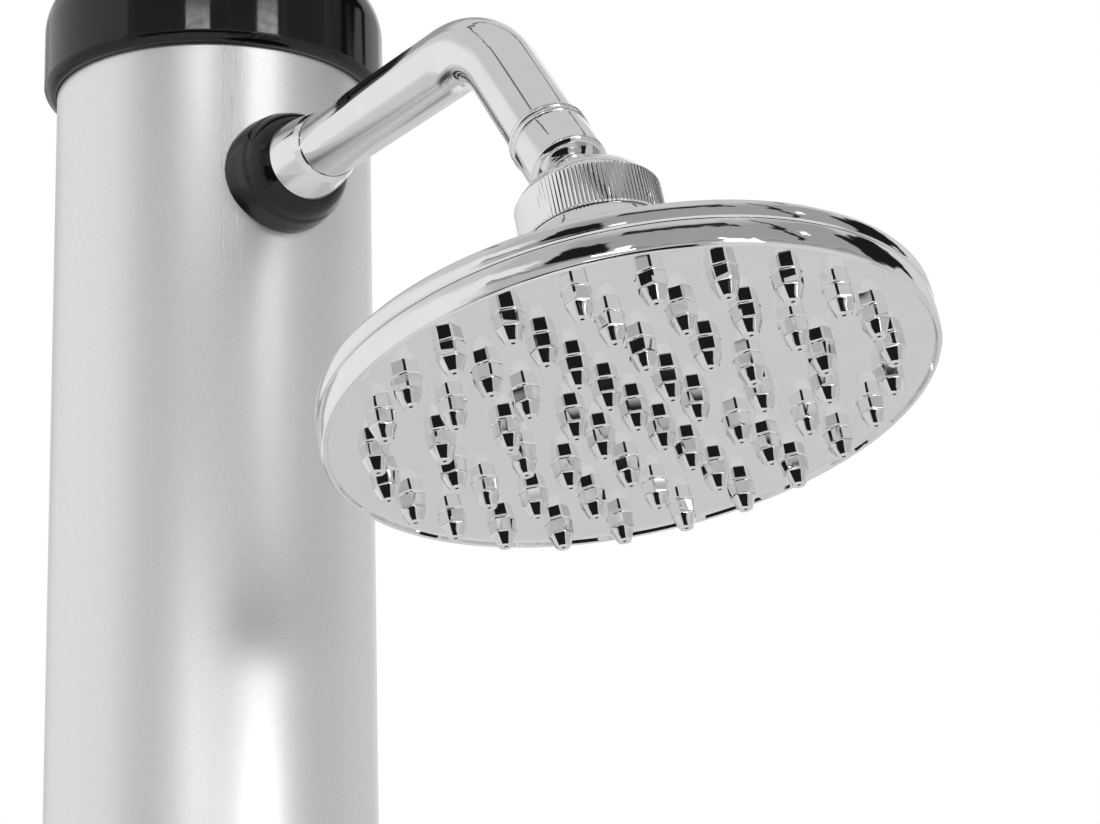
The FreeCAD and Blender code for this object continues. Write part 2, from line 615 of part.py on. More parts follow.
# ---------------------------------------------------------------- arm and its fixing
def arm_grommet():
    bore = arm_radius + fit_gap
    front = post_radius + grommet_length
    body = turned("arm_grommet", [
        (post_radius / 2, bore), (front, bore), (front, grommet_nose, as_size(11), 1),
        (post_radius + grommet_flank + 1.6, grommet_step - 0.2, as_size(2.2), 1),
        (post_radius + grommet_flank, grommet_step + 0.6), (post_radius + 1, grommet_radius),
        (post_radius / 2, grommet_radius)], "H_Axis")
    saddle_cut(body, post_radius + fit_gap, grommet_radius * 4)
    turn_more(body, [
        (grommet_neck_end, bore), (post_radius + 3, bore), (post_radius + 3, grommet_neck),
        (grommet_neck_end, grommet_neck)], "H_Axis", "Neck")
    return put(body, ZERO, ZERO, arm_height)


def arm_collar():
    start = post_radius + grommet_length
    edge = start + collar_length
    bore = arm_radius + fit_gap
    body = turned("arm_collar", [
        (start, bore), (edge + collar_bevel, bore), (edge + collar_bevel, bore + 0.3), (edge, collar_end),
        (start, collar_base)], "H_Axis")
    return put(body, ZERO, ZERO, arm_height)


def arm_washer():
    bore = arm_radius + fit_gap
    body = turned("arm_washer", [
        (grommet_neck_end - arm_washer_depth, bore), (grommet_neck_end, bore), (grommet_neck_end, arm_washer_radius),
        (grommet_neck_end - arm_washer_depth, arm_washer_radius)], "H_Axis")
    return put(body, ZERO, ZERO, arm_height)


def hex_nut(label, flats, bore, depth):
    """A flat hexagonal nut on the X axis, with its outer face at the origin."""
    body = new_body(label)
    sketch = new_sketch(body, "YZ_Plane")
    draw_polygon(sketch, 6, flats / 2 / cosine(as_size(30)))
    draw_circle(sketch, (ZERO, ZERO), bore, "bore")
    pad(body, sketch, depth, reversed_way=True)
    return body


def arm_nut():
    body = hex_nut("arm_nut", arm_nut_flats, arm_radius + fit_gap, arm_nut_depth)
    return put(body, grommet_neck_end - arm_washer_depth, ZERO, arm_height)


def shower_arm():
    body = new_body("shower_arm")
    route = new_sketch(body, "XZ_Plane", ZERO, "Route")
    lead = arm_bend * tangent(arm_angle / 2)
    stop = arm_leg - stem_floor - fit_gap
    places = [
        (arm_inner_end, ZERO), (arm_reach - lead, ZERO),
        (arm_reach + lead * cosine(arm_angle), -lead * sine(arm_angle)),
        (arm_reach + stop * cosine(arm_angle), -stop * sine(arm_angle))]
    spots = [Vector(p[0].value, p[1].value, 0) for p in places]
    route.addGeometry(Part.LineSegment(spots[0], spots[1]), False)
    route.addGeometry(arc_between(spots[1], spots[2], arm_bend.value, -1), False)
    route.addGeometry(Part.LineSegment(spots[2], spots[3]), False)
    pin_point(route, 0, 1, places[0], "a")
    pin_point(route, 0, 2, places[1], "b")
    pin_point(route, 2, 1, places[2], "c")
    pin_point(route, 2, 2, places[3], "d")
    begins_first = route.Geometry[1].StartPoint.distanceToPoint(spots[1]) < 1
    near, far = (1, 2) if begins_first else (2, 1)
    route.addConstraint(Sketcher.Constraint("Coincident", 0, 2, 1, near))
    route.addConstraint(Sketcher.Constraint("Coincident", 1, far, 2, 1))
    index = route.addConstraint(Sketcher.Constraint("Radius", 1, arm_bend.value))
    route.renameConstraint(index, "bend")
    route.setExpression("Constraints.bend", arm_bend.text)
    section = new_sketch(body, "YZ_Plane", arm_inner_end, "Section")
    draw_circle(section, (ZERO, ZERO), arm_radius, "outer")
    draw_circle(section, (ZERO, ZERO), arm_radius - arm_wall, "inner")
    swept(body, section, route)
    return put(body, ZERO, ZERO, arm_height)


def riser_elbow():
    """The fitting inside the column that joins the upright pipe to the arm."""
    socket = arm_radius + fit_gap
    outer = socket + 2.4
    front = grommet_neck_end - arm_washer_depth - arm_nut_depth - 1
    back = port_offset - pipe_radius - 5
    body = turned("riser_elbow", [
        (back, ZERO), (front, ZERO), (front, outer), (back + 2, outer), (back, outer - 2)], "H_Axis")
    leg_sketch = new_sketch(body, "XY_Plane", ZERO, "Leg")
    draw_circle(leg_sketch, (port_offset, ZERO), pipe_radius + 2.6)
    pad(body, leg_sketch, outer + 13, reversed_way=True)
    turn_more(body, [
        (arm_inner_end, ZERO), (front, ZERO), (front, socket), (arm_inner_end, socket)],
        "H_Axis", "Socket", "PartDesign::Groove")
    turn_more(body, [
        (back + 3, ZERO), (arm_inner_end, ZERO), (arm_inner_end, arm_radius - arm_wall),
        (back + 3, arm_radius - arm_wall)], "H_Axis", "Way", "PartDesign::Groove")
    way = new_sketch(body, "XY_Plane", ZERO, "LegWay")
    draw_circle(way, (port_offset, ZERO), pipe_radius - pipe_wall)
    pocket(body, way, outer + 13)
    grip = new_sketch(body, "XY_Plane", -(outer + 2), "LegSocket")
    draw_circle(grip, (port_offset, ZERO), pipe_radius + fit_gap)
    pocket(body, grip, as_size(11))
    return put(body, ZERO, ZERO, arm_height)


# ---------------------------------------------------------------- ball joint
def ball_stem():
    socket = arm_radius + run_gap
    bead_foot = stem_radius - 0.75
    collar_top = stem_top - bead_width * 2
    meet = leg(ball_radius, ball_neck)
    mouth = leg(ball_radius, ball_bore)
    body = turned("ball_stem", [
        (ball_bore, -mouth, ball_radius, 1), (ball_neck, meet), (ball_neck, stem_foot),
        (stem_foot_radius, stem_foot), (stem_radius, stem_foot + stem_bevel), (stem_radius, collar_top - 0.4),
        (bead_foot, collar_top, bead_radius, 1), (bead_foot, collar_top + bead_width, bead_radius, 1),
        (bead_foot, stem_top), (socket, stem_top), (socket, stem_floor), (ball_bore, stem_floor)])
    return put_on_arm(body)


def ball_zone(label, inner, outer, low, high):
    """A ring cut from a spherical shell round the ball's centre."""
    body = turned(label, [
        (leg(inner, low), low), (leg(outer, low), low, outer, 1), (leg(outer, high), high),
        (leg(inner, high), high, inner, -1)])
    return put_on_head(body)


def seat_ring():
    return ball_zone("seat_ring", seat_inner, seat_outer, seat_bottom, seat_top)


def ball_seal():
    return ball_zone("ball_seal", seat_inner, seat_outer, -seal_bottom, -seal_top)


def coupling_nut():
    lip_z = leg(socket_radius, nut_mouth)
    body = turned("coupling_nut", [
        (nut_mouth, lip_z), (nut_mouth, lip_z + 0.25), (nut_mouth + nut_lip, lip_z + 0.25, nut_dome, -1),
        (nut_radius, -nut_shoulder), (nut_radius, -nut_bottom + 1), (nut_foot, -nut_bottom),
        (thread_radius, -nut_bottom), (thread_radius, -nut_step),
        (leg(socket_radius, nut_step), -nut_step, socket_radius, 1)])
    groove = new_sketch(body, "XY_Plane", -nut_bottom, "Rib")
    reach = nut_radius + 0.5
    draw_loop(groove, [
        (nut_radius - rib_depth, ZERO), (reach, rib_width * -0.7), (reach, rib_width * 0.7)])
    cut = pocket(body, groove, nut_bottom - nut_shoulder, reversed_way=True)
    polar(body, [cut], rib_count)
    return put_on_head(body)


# ---------------------------------------------------------------- shower head
def head_back():
    outer = rim_radius + rim_flare
    inset = rim_radius - cup_wall - fit_gap
    inner = inset - shell_wall
    ledge = -nut_bottom - neck_ledge
    knee_out, knee_down = sine(back_slope), cosine(back_slope)
    deep = sweep_radius + shell_wall
    body = turned("head_back", [
        (inner, groove_level - spigot_depth), (inset, groove_level - spigot_depth), (inset, groove_level + fit_gap),
        (rim_radius - band_groove, groove_level + fit_gap), (outer, groove_level + fit_gap + band_groove),
        (outer, back_level - shoulder_edge, shoulder_edge, 1), (outer - shoulder_edge, back_level),
        (sweep_side - sweep_radius * knee_out, sweep_rise - sweep_radius * knee_down, sweep_radius, -1),
        (sweep_side - leg(sweep_radius, sweep_rise - ledge), ledge), (thread_radius - fit_gap, ledge),
        (thread_radius - fit_gap, -neck_top), (leg(socket_radius, neck_top), -neck_top, socket_radius, -1),
        (neck_bore, -leg(socket_radius, neck_bore)), (neck_bore, -filter_seat),
        (filter_radius + fit_gap, -filter_seat), (filter_radius + fit_gap, -neck_end),
        (sweep_side - leg(deep, sweep_rise + neck_end), -neck_end, deep, 1),
        (sweep_side - deep * knee_out, sweep_rise - deep * knee_down), (inner, back_level - shell_wall)])
    return put_on_head(body)


def ring_recess(radius):
    """How far the dished face has sunk at a radius."""
    bowl = (dish_radius * dish_radius + dish_depth * dish_depth) / (dish_depth * 2)
    return leg(bowl, radius) - leg(bowl, dish_radius)


def spray_face():
    """The face with its rim and its faceted nozzles, moulded as one."""
    wall = rim_radius - cup_wall
    bowl = (dish_radius * dish_radius + dish_depth * dish_depth) / (dish_depth * 2)
    lip_inner = rim_radius - lip_slope - lip_width
    body = turned("spray_face", [
        (ZERO, face_level + dish_depth, bowl, -1), (dish_radius, face_level), (lip_inner - 0.4, face_level),
        (lip_inner, lip_level), (rim_radius - lip_slope, lip_level), (rim_radius, lip_level + lip_slope),
        (rim_radius, groove_level - band_groove), (rim_radius - band_groove, groove_level), (wall, groove_level),
        (wall, face_level + face_thickness), (dish_radius, face_level + face_thickness, bowl, 1),
        (ZERO, face_level + face_thickness + dish_depth)])
    for ring in range(5):
        nozzle_ring(body, ring)
    return put_on_head(body)


def nozzle_ring(body, ring):
    """One ring of nozzles: a hexagonal barrel with a knee, a flat tip and a fine hole."""
    radius = outer_ring - ring_pitch * (4 - ring) if ring else ZERO
    level = face_level + ring_recess(radius) - ring_recess(outer_ring)
    centre = (radius * cosine(ring_phase), radius * sine(ring_phase))
    sections = []
    for name, depth, corner in (
            ("Foot", as_size(-0.8), nozzle_foot_radius), ("Knee", nozzle_knee, nozzle_knee_radius),
            ("Tip", nozzle_height, nozzle_tip_radius)):
        sketch = new_sketch(body, "XY_Plane", level - depth, name + str(ring))
        draw_polygon(sketch, 6, corner, ring_phase, centre)
        sections.append(sketch)
    barrel = body.newObject("PartDesign::AdditiveLoft", "nozzle_barrel_" + str(ring))
    barrel.Profile = sections[0]
    barrel.Sections = sections[1:]
    barrel.Ruled = True
    hole = new_sketch(body, "XY_Plane", level - nozzle_height, "Hole" + str(ring))
    draw_circle(hole, centre, nozzle_hole)
    drilled = pocket(body, hole, nozzle_height + face_thickness + 1, reversed_way=True)
    if ring:
        polar(body, [barrel, drilled], ring_step * ring)


def head_seal():
    """A flat gasket between the back shell and the face."""
    outer = rim_radius - cup_wall - fit_gap
    low = face_level + face_thickness
    high = groove_level - spigot_depth
    body = turned("head_seal", [
        (outer - shell_wall, low), (outer, low), (outer, high), (outer - shell_wall, high)])
    return put_on_head(body)


def inlet_filter():
    low = -filter_seat - filter_depth
    body = turned("inlet_filter", [
        (ZERO, low), (filter_radius, low), (filter_radius, -filter_seat), (ZERO, -filter_seat)])
    sketch = new_sketch(body, "XY_Plane", low, "Hole")
    draw_circle(sketch, (neck_bore * 0.68, ZERO), filter_hole)
    cut = pocket(body, sketch, filter_depth, reversed_way=True)
    polar(body, [cut], filter_holes)
    return put_on_head(body)


# ---------------------------------------------------------------- mixer
def mixer_gasket():
    """A rubber ring that is rolled round the column under the wall plate."""
    disc = doc.addObject("Part::Cylinder", "gasket_disc")
    disc.setExpression("Radius", (plate_radius - 1).text)
    disc.setExpression("Height", (post_radius * 2).text)
    disc.Placement = Placement(Vector(0, 0, 0), Rotation(Vector(0, 1, 0), 90))
    hole = doc.addObject("Part::Cylinder", "gasket_hole")
    hole.setExpression("Radius", (mixer_radius + fit_gap).text)
    hole.setExpression("Height", (post_radius * 2).text)
    hole.Placement = Placement(Vector(0, 0, 0), Rotation(Vector(0, 1, 0), 90))
    ring = doc.addObject("Part::Cut", "gasket_ring")
    ring.Base = disc
    ring.Tool = hole
    sleeves = []
    for name, radius in (("outer", post_radius + fit_gap + gasket_thickness), ("inner", post_radius + fit_gap)):
        sleeve = doc.addObject("Part::Cylinder", "gasket_" + name)
        sleeve.setExpression("Radius", radius.text)
        sleeve.setExpression("Height", (plate_radius * 4).text)
        sleeve.setExpression("Placement.Base.z", (-plate_radius * 2).text)
        sleeves.append(sleeve)
    skin = doc.addObject("Part::Cut", "gasket_skin")
    skin.Base = sleeves[0]
    skin.Tool = sleeves[1]
    gasket = doc.addObject("Part::Common", "mixer_gasket")
    gasket.Label = "mixer_gasket"
    gasket.Base = skin
    gasket.Tool = ring
    return put(gasket, ZERO, ZERO, mixer_height)


def wall_plate():
    bore = mixer_radius + fit_gap
    front = post_radius + plate_depth
    body = turned("wall_plate", [
        (post_radius / 2, bore), (front, bore), (front, bore + 4, plate_radius, 1),
        (post_radius + plate_edge, plate_radius), (post_radius / 2, plate_radius)], "H_Axis")
    saddle_cut(body, post_radius + fit_gap * 2 + gasket_thickness, plate_radius * 4)
    return put(body, ZERO, ZERO, mixer_height)


def mixer_port(body, name, side, upward):
    sketch = new_sketch(body, "XY_Plane", ZERO, name)
    draw_circle(sketch, (port_offset, side), port_radius)
    pad(body, sketch, port_end, reversed_way=not upward)
    grip = new_sketch(body, "XY_Plane", port_end if upward else -port_end, name + "Grip")
    draw_circle(grip, (port_offset, side), pipe_radius + fit_gap)
    return grip


def mixer_body():
    """Brass body through the column's wall, with two pipe ports above and one below."""
    rounding_x = lever_pivot + leg(body_dome, mixer_radius)
    front = lever_pivot + leg(body_dome, body_bore)
    floor = lever_pivot - cartridge_front - cartridge_depth
    body = turned("mixer_body", [
        (mixer_inner_end, ZERO), (floor, ZERO), (floor, body_bore), (front, body_bore, body_dome, 1),
        (rounding_x, mixer_radius), (mixer_inner_end + 2, mixer_radius), (mixer_inner_end, mixer_radius - 2)], "H_Axis")
    outlet = mixer_port(body, "Outlet", port_spread, True)
    hot = mixer_port(body, "Hot", -port_spread, True)
    cold = mixer_port(body, "Cold", ZERO, False)
    pocket(body, outlet, port_grip)
    pocket(body, hot, port_grip)
    pocket(body, cold, port_grip, reversed_way=True)
    return put(body, ZERO, ZERO, mixer_height)


def cartridge():
    front = lever_pivot - cartridge_front
    back = front - cartridge_depth
    outer = body_bore - fit_gap
    body = turned("cartridge", [
        (back, ZERO), (front, ZERO), (front, outer - 1.5), (front - 4, outer - 1.5), (front - 4, outer),
        (back, outer)], "H_Axis")
    return put(body, ZERO, ZERO, mixer_height)


def ring_nut():
    """The slotted ring that holds the cartridge down."""
    back = lever_pivot - cartridge_front
    front = lever_pivot + ring_nut_front
    body = turned("ring_nut", [
        (back, ring_nut_bore), (front, ring_nut_bore), (front, body_bore - fit_gap), (back, body_bore - fit_gap)],
        "H_Axis")
    slot = new_sketch(body, "YZ_Plane", front, "Slot")
    draw_loop(slot, [
        (ring_nut_bore - 1, as_size(-1.5)), (body_bore + 1, as_size(-1.5)), (body_bore + 1, as_size(1.5)),
        (ring_nut_bore - 1, as_size(1.5))])
    cut = pocket(body, slot, as_size(2.5))
    polar(body, [cut], 4, "X_Axis")
    return put(body, ZERO, ZERO, mixer_height)


def cartridge_carrier():
    """The turning part of the cartridge, with the slot that the stem rocks in."""
    back = lever_pivot - cartridge_front + fit_gap
    front = lever_pivot + carrier_front
    body = turned("cartridge_carrier", [
        (back, ZERO), (front, ZERO), (front, carrier_radius), (back, carrier_radius)], "H_Axis")
    slot = new_sketch(body, "YZ_Plane", front, "Slot")
    half = stem_square / 2 + fit_gap * 2
    draw_loop(slot, [
        (-half, -carrier_slot / 2), (half, -carrier_slot / 2), (half, carrier_slot / 2), (-half, carrier_slot / 2)])
    pocket(body, slot, carrier_front + cartridge_front)
    hole = new_sketch(body, "XZ_Plane", ZERO, "Pin")
    draw_circle(hole, (lever_pivot, ZERO), pin_radius)
    pocket(body, hole, carrier_radius * 2, midplane=True)
    return put(body, ZERO, ZERO, mixer_height)


def stem_pin():
    pin = doc.addObject("Part::Cylinder", "stem_pin")
    pin.Label = "stem_pin"
    pin.setExpression("Radius", (pin_radius - 0.01).text)
    pin.setExpression("Height", (carrier_radius * 2 - 2).text)
    pin.Placement = Placement(Vector(0, 0, 0), Rotation(Vector(1, 0, 0), 90))
    pin.setExpression("Placement.Base.x", lever_pivot.text)
    pin.setExpression("Placement.Base.y", (carrier_radius - 1).text)
    pin.setExpression("Placement.Base.z", mixer_height.text)
    return pin


def cartridge_stem():
    body = new_body("cartridge_stem")
    sketch = new_sketch(body, "YZ_Plane", lever_pivot - stem_back)
    half = stem_square / 2
    draw_loop(sketch, [(-half, -half), (half, -half), (half, half), (-half, half)])
    pad(body, sketch, stem_front + stem_back)
    hole = new_sketch(body, "XZ_Plane", ZERO, "Pin")
    draw_circle(hole, (lever_pivot, ZERO), pin_radius + run_gap)
    pocket(body, hole, stem_square * 2, midplane=True)
    return put(body, ZERO, ZERO, mixer_height)


def mixer_lever():
    """A domed hub over the body's front, with a flat bar that hangs down from it."""
    inner_x, inner_r = hub_inner * cosine(hub_open), hub_inner * sine(hub_open)
    outer_x, outer_r = hub_outer * cosine(hub_open), hub_outer * sine(hub_open)
    body = turned("mixer_lever", [
        (lever_pivot + boss_back, ZERO), (lever_pivot + boss_back, boss_radius),
        (lever_pivot + leg(hub_inner, boss_radius), boss_radius, hub_inner, 1),
        (lever_pivot + inner_x, inner_r), (lever_pivot + outer_x, outer_r, hub_outer, -1),
        (lever_pivot + hub_outer, ZERO)], "H_Axis")
    handle_start = leg(hub_inner + handle_gap, handle_root_out - handle_root_depth / 2)
    sections = []
    for name, drop, out, width, depth in (
            ("Root", handle_start, handle_root_out, handle_root_width, handle_root_depth),
            ("Tip", handle_length, handle_tip_out, handle_tip_width, handle_tip_depth)):
        sketch = new_sketch(body, "XY_Plane", -drop, name)
        half, near, far = width / 2, lever_pivot + out - depth / 2, lever_pivot + out + depth / 2
        draw_loop(sketch, [(near, -half), (far, -half), (far, half), (near, half)])
        sections.append(sketch)
    bar = body.newObject("PartDesign::AdditiveLoft", "lever_bar")
    bar.Profile = sections[0]
    bar.Sections = sections[1:]
    bar.Ruled = True
    socket = new_sketch(body, "YZ_Plane", lever_pivot + boss_back, "Socket")
    half = stem_square / 2 + fit_gap
    draw_loop(socket, [(-half, -half), (half, -half), (half, half), (-half, half)])
    pocket(body, socket, stem_front - boss_back + fit_gap, reversed_way=True)
    seat = new_sketch(body, "YZ_Plane", lever_pivot + hub_outer, "PlugSeat")
    draw_circle(seat, (ZERO, ZERO), plug_radius + fit_gap)
    pocket(body, seat, plug_depth + 0.5)
    bore = new_sketch(body, "YZ_Plane", lever_pivot + hub_outer, "ScrewBore")
    draw_circle(bore, (ZERO, ZERO), lever_screw_radius + fit_gap)
    pocket(body, bore, hub_outer - stem_front)
    return put(body, ZERO, ZERO, mixer_height)


def lever_plug():
    front = lever_pivot + hub_outer - 0.4
    body = turned("lever_plug", [
        (front - plug_depth, ZERO), (front, ZERO), (front, plug_radius - 0.5), (front - 0.5, plug_radius),
        (front - plug_depth, plug_radius)], "H_Axis")
    return put(body, ZERO, ZERO, mixer_height)


def lever_screw():
    """A screw through the hub into the stem's end, hidden by the plug."""
    back = lever_pivot + stem_front + fit_gap
    front = lever_pivot + hub_outer - plug_depth - 0.6
    body = turned("lever_screw", [
        (back, ZERO), (front, ZERO), (front, lever_screw_radius), (back, lever_screw_radius)], "H_Axis")
    return put(body, ZERO, ZERO, mixer_height)


# ---------------------------------------------------------------- tank and pipes
def solar_tank():
    waist = tank_nipple
    rise = tank_top - tank_bottom
    inner = tank_radius - tank_wall
    body = turned("solar_tank", [
        (waist - 1.5, -nipple_length), (waist, -nipple_length), (waist, ZERO), (tank_radius, tank_shoulder),
        (tank_radius, rise - tank_shoulder), (waist, rise), (waist, rise + nipple_length),
        (waist - 1.5, rise + nipple_length), (waist - 1.5, rise - tank_wall), (inner, rise - tank_shoulder - 1),
        (inner, tank_shoulder + 1), (waist - 1.5, tank_wall)])
    return put(body, -tank_offset, ZERO, tank_bottom)


def tank_spacers():
    """Four foam discs that hold the tank and the pipes in the column, each its own solid."""
    body = new_body("spacer_disc")
    sketch = new_sketch(body, "XY_Plane")
    draw_circle(sketch, (ZERO, ZERO), post_inner - fit_gap * 2, "rim")
    draw_circle(sketch, (-tank_offset, ZERO), tank_radius + fit_gap, "tank")
    far = pipe_radius + fit_gap
    round_end = far + 0.12
    near = port_spread + fit_gap + leg(round_end, far)
    draw_loop(sketch, [
        (port_offset - far, near), (port_offset - far, -near, round_end, 1), (port_offset + far, -near),
        (port_offset + far, near, round_end, 1)], "slot")
    pad(body, sketch, spacer_thickness)
    places = []
    for i in range(4):
        copy = doc.addObject("Part::Compound", "spacer_" + str(i))
        copy.Links = [body]
        height = spacer_low + spacer_step * i
        copy.setExpression("Placement.Base.z", height.text)
        places.append(copy)
    group = doc.addObject("Part::Compound", "tank_spacers")
    group.Label = "tank_spacers"
    group.Links = places
    return group


def pipe_section(body, plane, centre, lift):
    section = new_sketch(body, plane, lift, "Section")
    draw_circle(section, centre, pipe_radius, "outer")
    draw_circle(section, centre, pipe_radius - pipe_wall, "inner")
    return section


def cold_pipe():
    """From the tee round one bend and up to the mixer's lower port."""
    body = new_body("cold_pipe")
    start = tee_front - 8
    top = mixer_height - port_end + port_grip - fit_gap
    route = new_sketch(body, "XZ_Plane", ZERO, "Route")
    draw_route(route, [(start, inlet_height), (port_offset, inlet_height), (port_offset, top)], pipe_bend)
    section = pipe_section(body, "YZ_Plane", (ZERO, inlet_height), start)
    swept(body, section, route)
    return body


def hot_pipe():
    """From the mixer's upper port to the top of the tank, drawn in the pipe's own upright plane."""
    body = new_body("hot_pipe")
    span = root((port_offset + tank_offset) * (port_offset + tank_offset) + port_spread * port_spread)
    low = mixer_height + port_end - port_grip + fit_gap
    end = tank_top + fit_gap
    turn = tank_top + hot_turn_rise
    route = new_sketch(body, "XZ_Plane", ZERO, "Route")
    draw_route(route, [(ZERO, low), (ZERO, turn), (span, turn), (span, end)], pipe_bend)
    section = pipe_section(body, "XY_Plane", (ZERO, ZERO), low)
    swept(body, section, route)
    yaw = "180 deg - atan(" + (port_spread / (port_offset + tank_offset)).text + ")"
    spot = "vector(" + port_offset.text + "; " + (-port_spread).text + "; 0)"
    body.setExpression("Placement", "placement(" + spot + "; rotation(" + yaw + "; 0; 0))")
    return body


def mixed_pipe():
    """From the mixer's other upper port up to the fitting behind the arm, with a shallow set-over."""
    body = new_body("mixed_pipe")
    low = mixer_height + port_end - port_grip + fit_gap
    top = arm_height - arm_radius - fit_gap - 2.4 - 2.2
    height = top - low
    bend_low = height - 60
    bend_high = height - 26
    route = new_sketch(body, "YZ_Plane", ZERO, "Route")
    stops = [(port_spread, ZERO), (port_spread, bend_low), (ZERO, bend_high), (ZERO, height)]
    spots = [Vector(as_size(s[0]).value, as_size(s[1]).value, 0) for s in stops]
    for i in range(3):
        route.addGeometry(Part.LineSegment(spots[i], spots[i + 1]), False)
    for i in range(3):
        pin_point(route, i, 1, stops[i], "s" + str(i))
        if i:
            route.addConstraint(Sketcher.Constraint("Coincident", i - 1, 2, i, 1))
    pin_point(route, 2, 2, stops[3], "e")
    section = pipe_section(body, "XY_Plane", (ZERO, port_spread), ZERO)
    sweep = swept(body, section, route)
    sweep.Transition = "Round corner"
    return put(body, port_offset, ZERO, low)


def inlet_connector():
    """The hose connection at the back of the foot, with its outer thread as a plain spigot."""
    flange = post_radius + inlet_seal_depth + fit_gap
    body = turned("inlet_connector", [
        (-inlet_inner_end, inlet_bore), (-inlet_inner_end, inlet_thread), (-flange, inlet_thread),
        (-flange, inlet_flange), (-flange - inlet_flange_depth, inlet_flange),
        (-flange - inlet_flange_depth, inlet_tail), (-flange - inlet_flange_depth - inlet_tail_length + 1, inlet_tail),
        (-flange - inlet_flange_depth - inlet_tail_length, inlet_tail - 1),
        (-flange - inlet_flange_depth - inlet_tail_length, inlet_bore)], "H_Axis")
    return put(body, ZERO, ZERO, inlet_height)


def inlet_seal():
    bore = inlet_thread + fit_gap
    edge = inlet_flange - 1
    body = turned("inlet_seal", [
        (-post_radius - fit_gap - inlet_seal_depth, bore), (-post_radius / 2, bore), (-post_radius / 2, edge),
        (-post_radius - fit_gap - inlet_seal_depth, edge)], "H_Axis")
    saddle_cut(body, post_radius + fit_gap, inlet_flange * 4)
    return put(body, ZERO, ZERO, inlet_height)


def inlet_nut():
    body = hex_nut("inlet_nut", inlet_nut_flats, inlet_thread + fit_gap, inlet_nut_depth)
    corner = inlet_nut_flats / 2 / cosine(as_size(30))
    return put(body, -leg(post_inner - fit_gap, corner) + inlet_nut_depth, ZERO, inlet_height)


def inlet_tee():
    """Shares the water between the tank above it and the pipe to the mixer."""
    back = -inlet_inner_end + fit_gap - 8
    outer = inlet_thread + 2.6
    body = turned("inlet_tee", [
        (back, ZERO), (tee_front, ZERO), (tee_front, tee_radius), (-inlet_inner_end + 3, tee_radius),
        (-inlet_inner_end + 1, outer), (back, outer)], "H_Axis")
    rise = new_sketch(body, "XY_Plane", ZERO, "Rise")
    draw_circle(rise, (-tank_offset, ZERO), tee_radius)
    pad(body, rise, tee_rise)
    turn_more(body, [
        (back, ZERO), (-inlet_inner_end + fit_gap, ZERO), (-inlet_inner_end + fit_gap, inlet_thread + fit_gap),
        (back, inlet_thread + fit_gap)], "H_Axis", "Socket", "PartDesign::Groove")
    turn_more(body, [
        (-inlet_inner_end - 1, ZERO), (tee_front - 8 - fit_gap, ZERO), (tee_front - 8 - fit_gap, pipe_radius - pipe_wall),
        (-inlet_inner_end - 1, pipe_radius - pipe_wall)], "H_Axis", "Way", "PartDesign::Groove")
    turn_more(body, [
        (tee_front - 8 - fit_gap, ZERO), (tee_front, ZERO), (tee_front, pipe_radius + fit_gap),
        (tee_front - 8 - fit_gap, pipe_radius + fit_gap)], "H_Axis", "PipeSocket", "PartDesign::Groove")
    way = new_sketch(body, "XY_Plane", ZERO, "RiseWay")
    draw_circle(way, (-tank_offset, ZERO), pipe_radius - pipe_wall)
    pocket(body, way, tee_rise, reversed_way=True)
    grip = new_sketch(body, "XY_Plane", tee_rise, "RiseSocket")
    draw_circle(grip, (-tank_offset, ZERO), pipe_radius + fit_gap)
    pocket(body, grip, as_size(8))
    return put(body, ZERO, ZERO, inlet_height)


def tank_feed():
    """A short straight pipe from the tee into the tank's lower nipple."""
    low = inlet_height + tee_rise - 8 + fit_gap
    high = tank_bottom - fit_gap
    outer = doc.addObject("Part::Cylinder", "feed_outer")
    inner = doc.addObject("Part::Cylinder", "feed_inner")
    for piece, radius in ((outer, pipe_radius), (inner, pipe_radius - pipe_wall)):
        piece.setExpression("Radius", radius.text)
        piece.setExpression("Height", (high - low).text)
    feed = doc.addObject("Part::Cut", "tank_feed")
    feed.Label = "tank_feed"
    feed.Base = outer
    feed.Tool = inner
    return put(feed, -tank_offset, ZERO, low)


# ---------------------------------------------------------------- build, check and write
makers = [
    base_plate, foot_ring, post_tube, foot_screws, post_cap, arm_grommet, arm_collar, arm_washer, arm_nut, shower_arm,
    riser_elbow, ball_stem, seat_ring, ball_seal, coupling_nut, head_back, spray_face, head_seal, inlet_filter,
    mixer_gasket, wall_plate, mixer_body, cartridge, ring_nut, cartridge_carrier, stem_pin, cartridge_stem,
    mixer_lever, lever_plug, lever_screw, solar_tank, tank_spacers, cold_pipe, hot_pipe, mixed_pipe,
    inlet_connector, inlet_seal, inlet_nut, inlet_tee, tank_feed]
doc.recompute()
pieces = [make() for make in makers]
doc.recompute()
for item in doc.Objects:
    if "Invalid" in item.State or "Error" in item.State:
        raise RuntimeError(item.Label + " could not be built")
for piece in pieces:
    if piece.Shape.isNull() or not piece.Shape.isValid():
        raise RuntimeError(piece.Label + " is not a sound solid")
os.makedirs("parts", exist_ok=True)
for piece in pieces:
    piece.Shape.exportStep("parts/" + piece.Label + ".step")
    print(piece.Label, len(piece.Shape.Solids), round(piece.Shape.Volume, 1))
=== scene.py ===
import json
import math

import bmesh
import bpy
import numpy as np
from bpy.props import FloatProperty, FloatVectorProperty, IntProperty, PointerProperty
from mathutils import Matrix, Vector


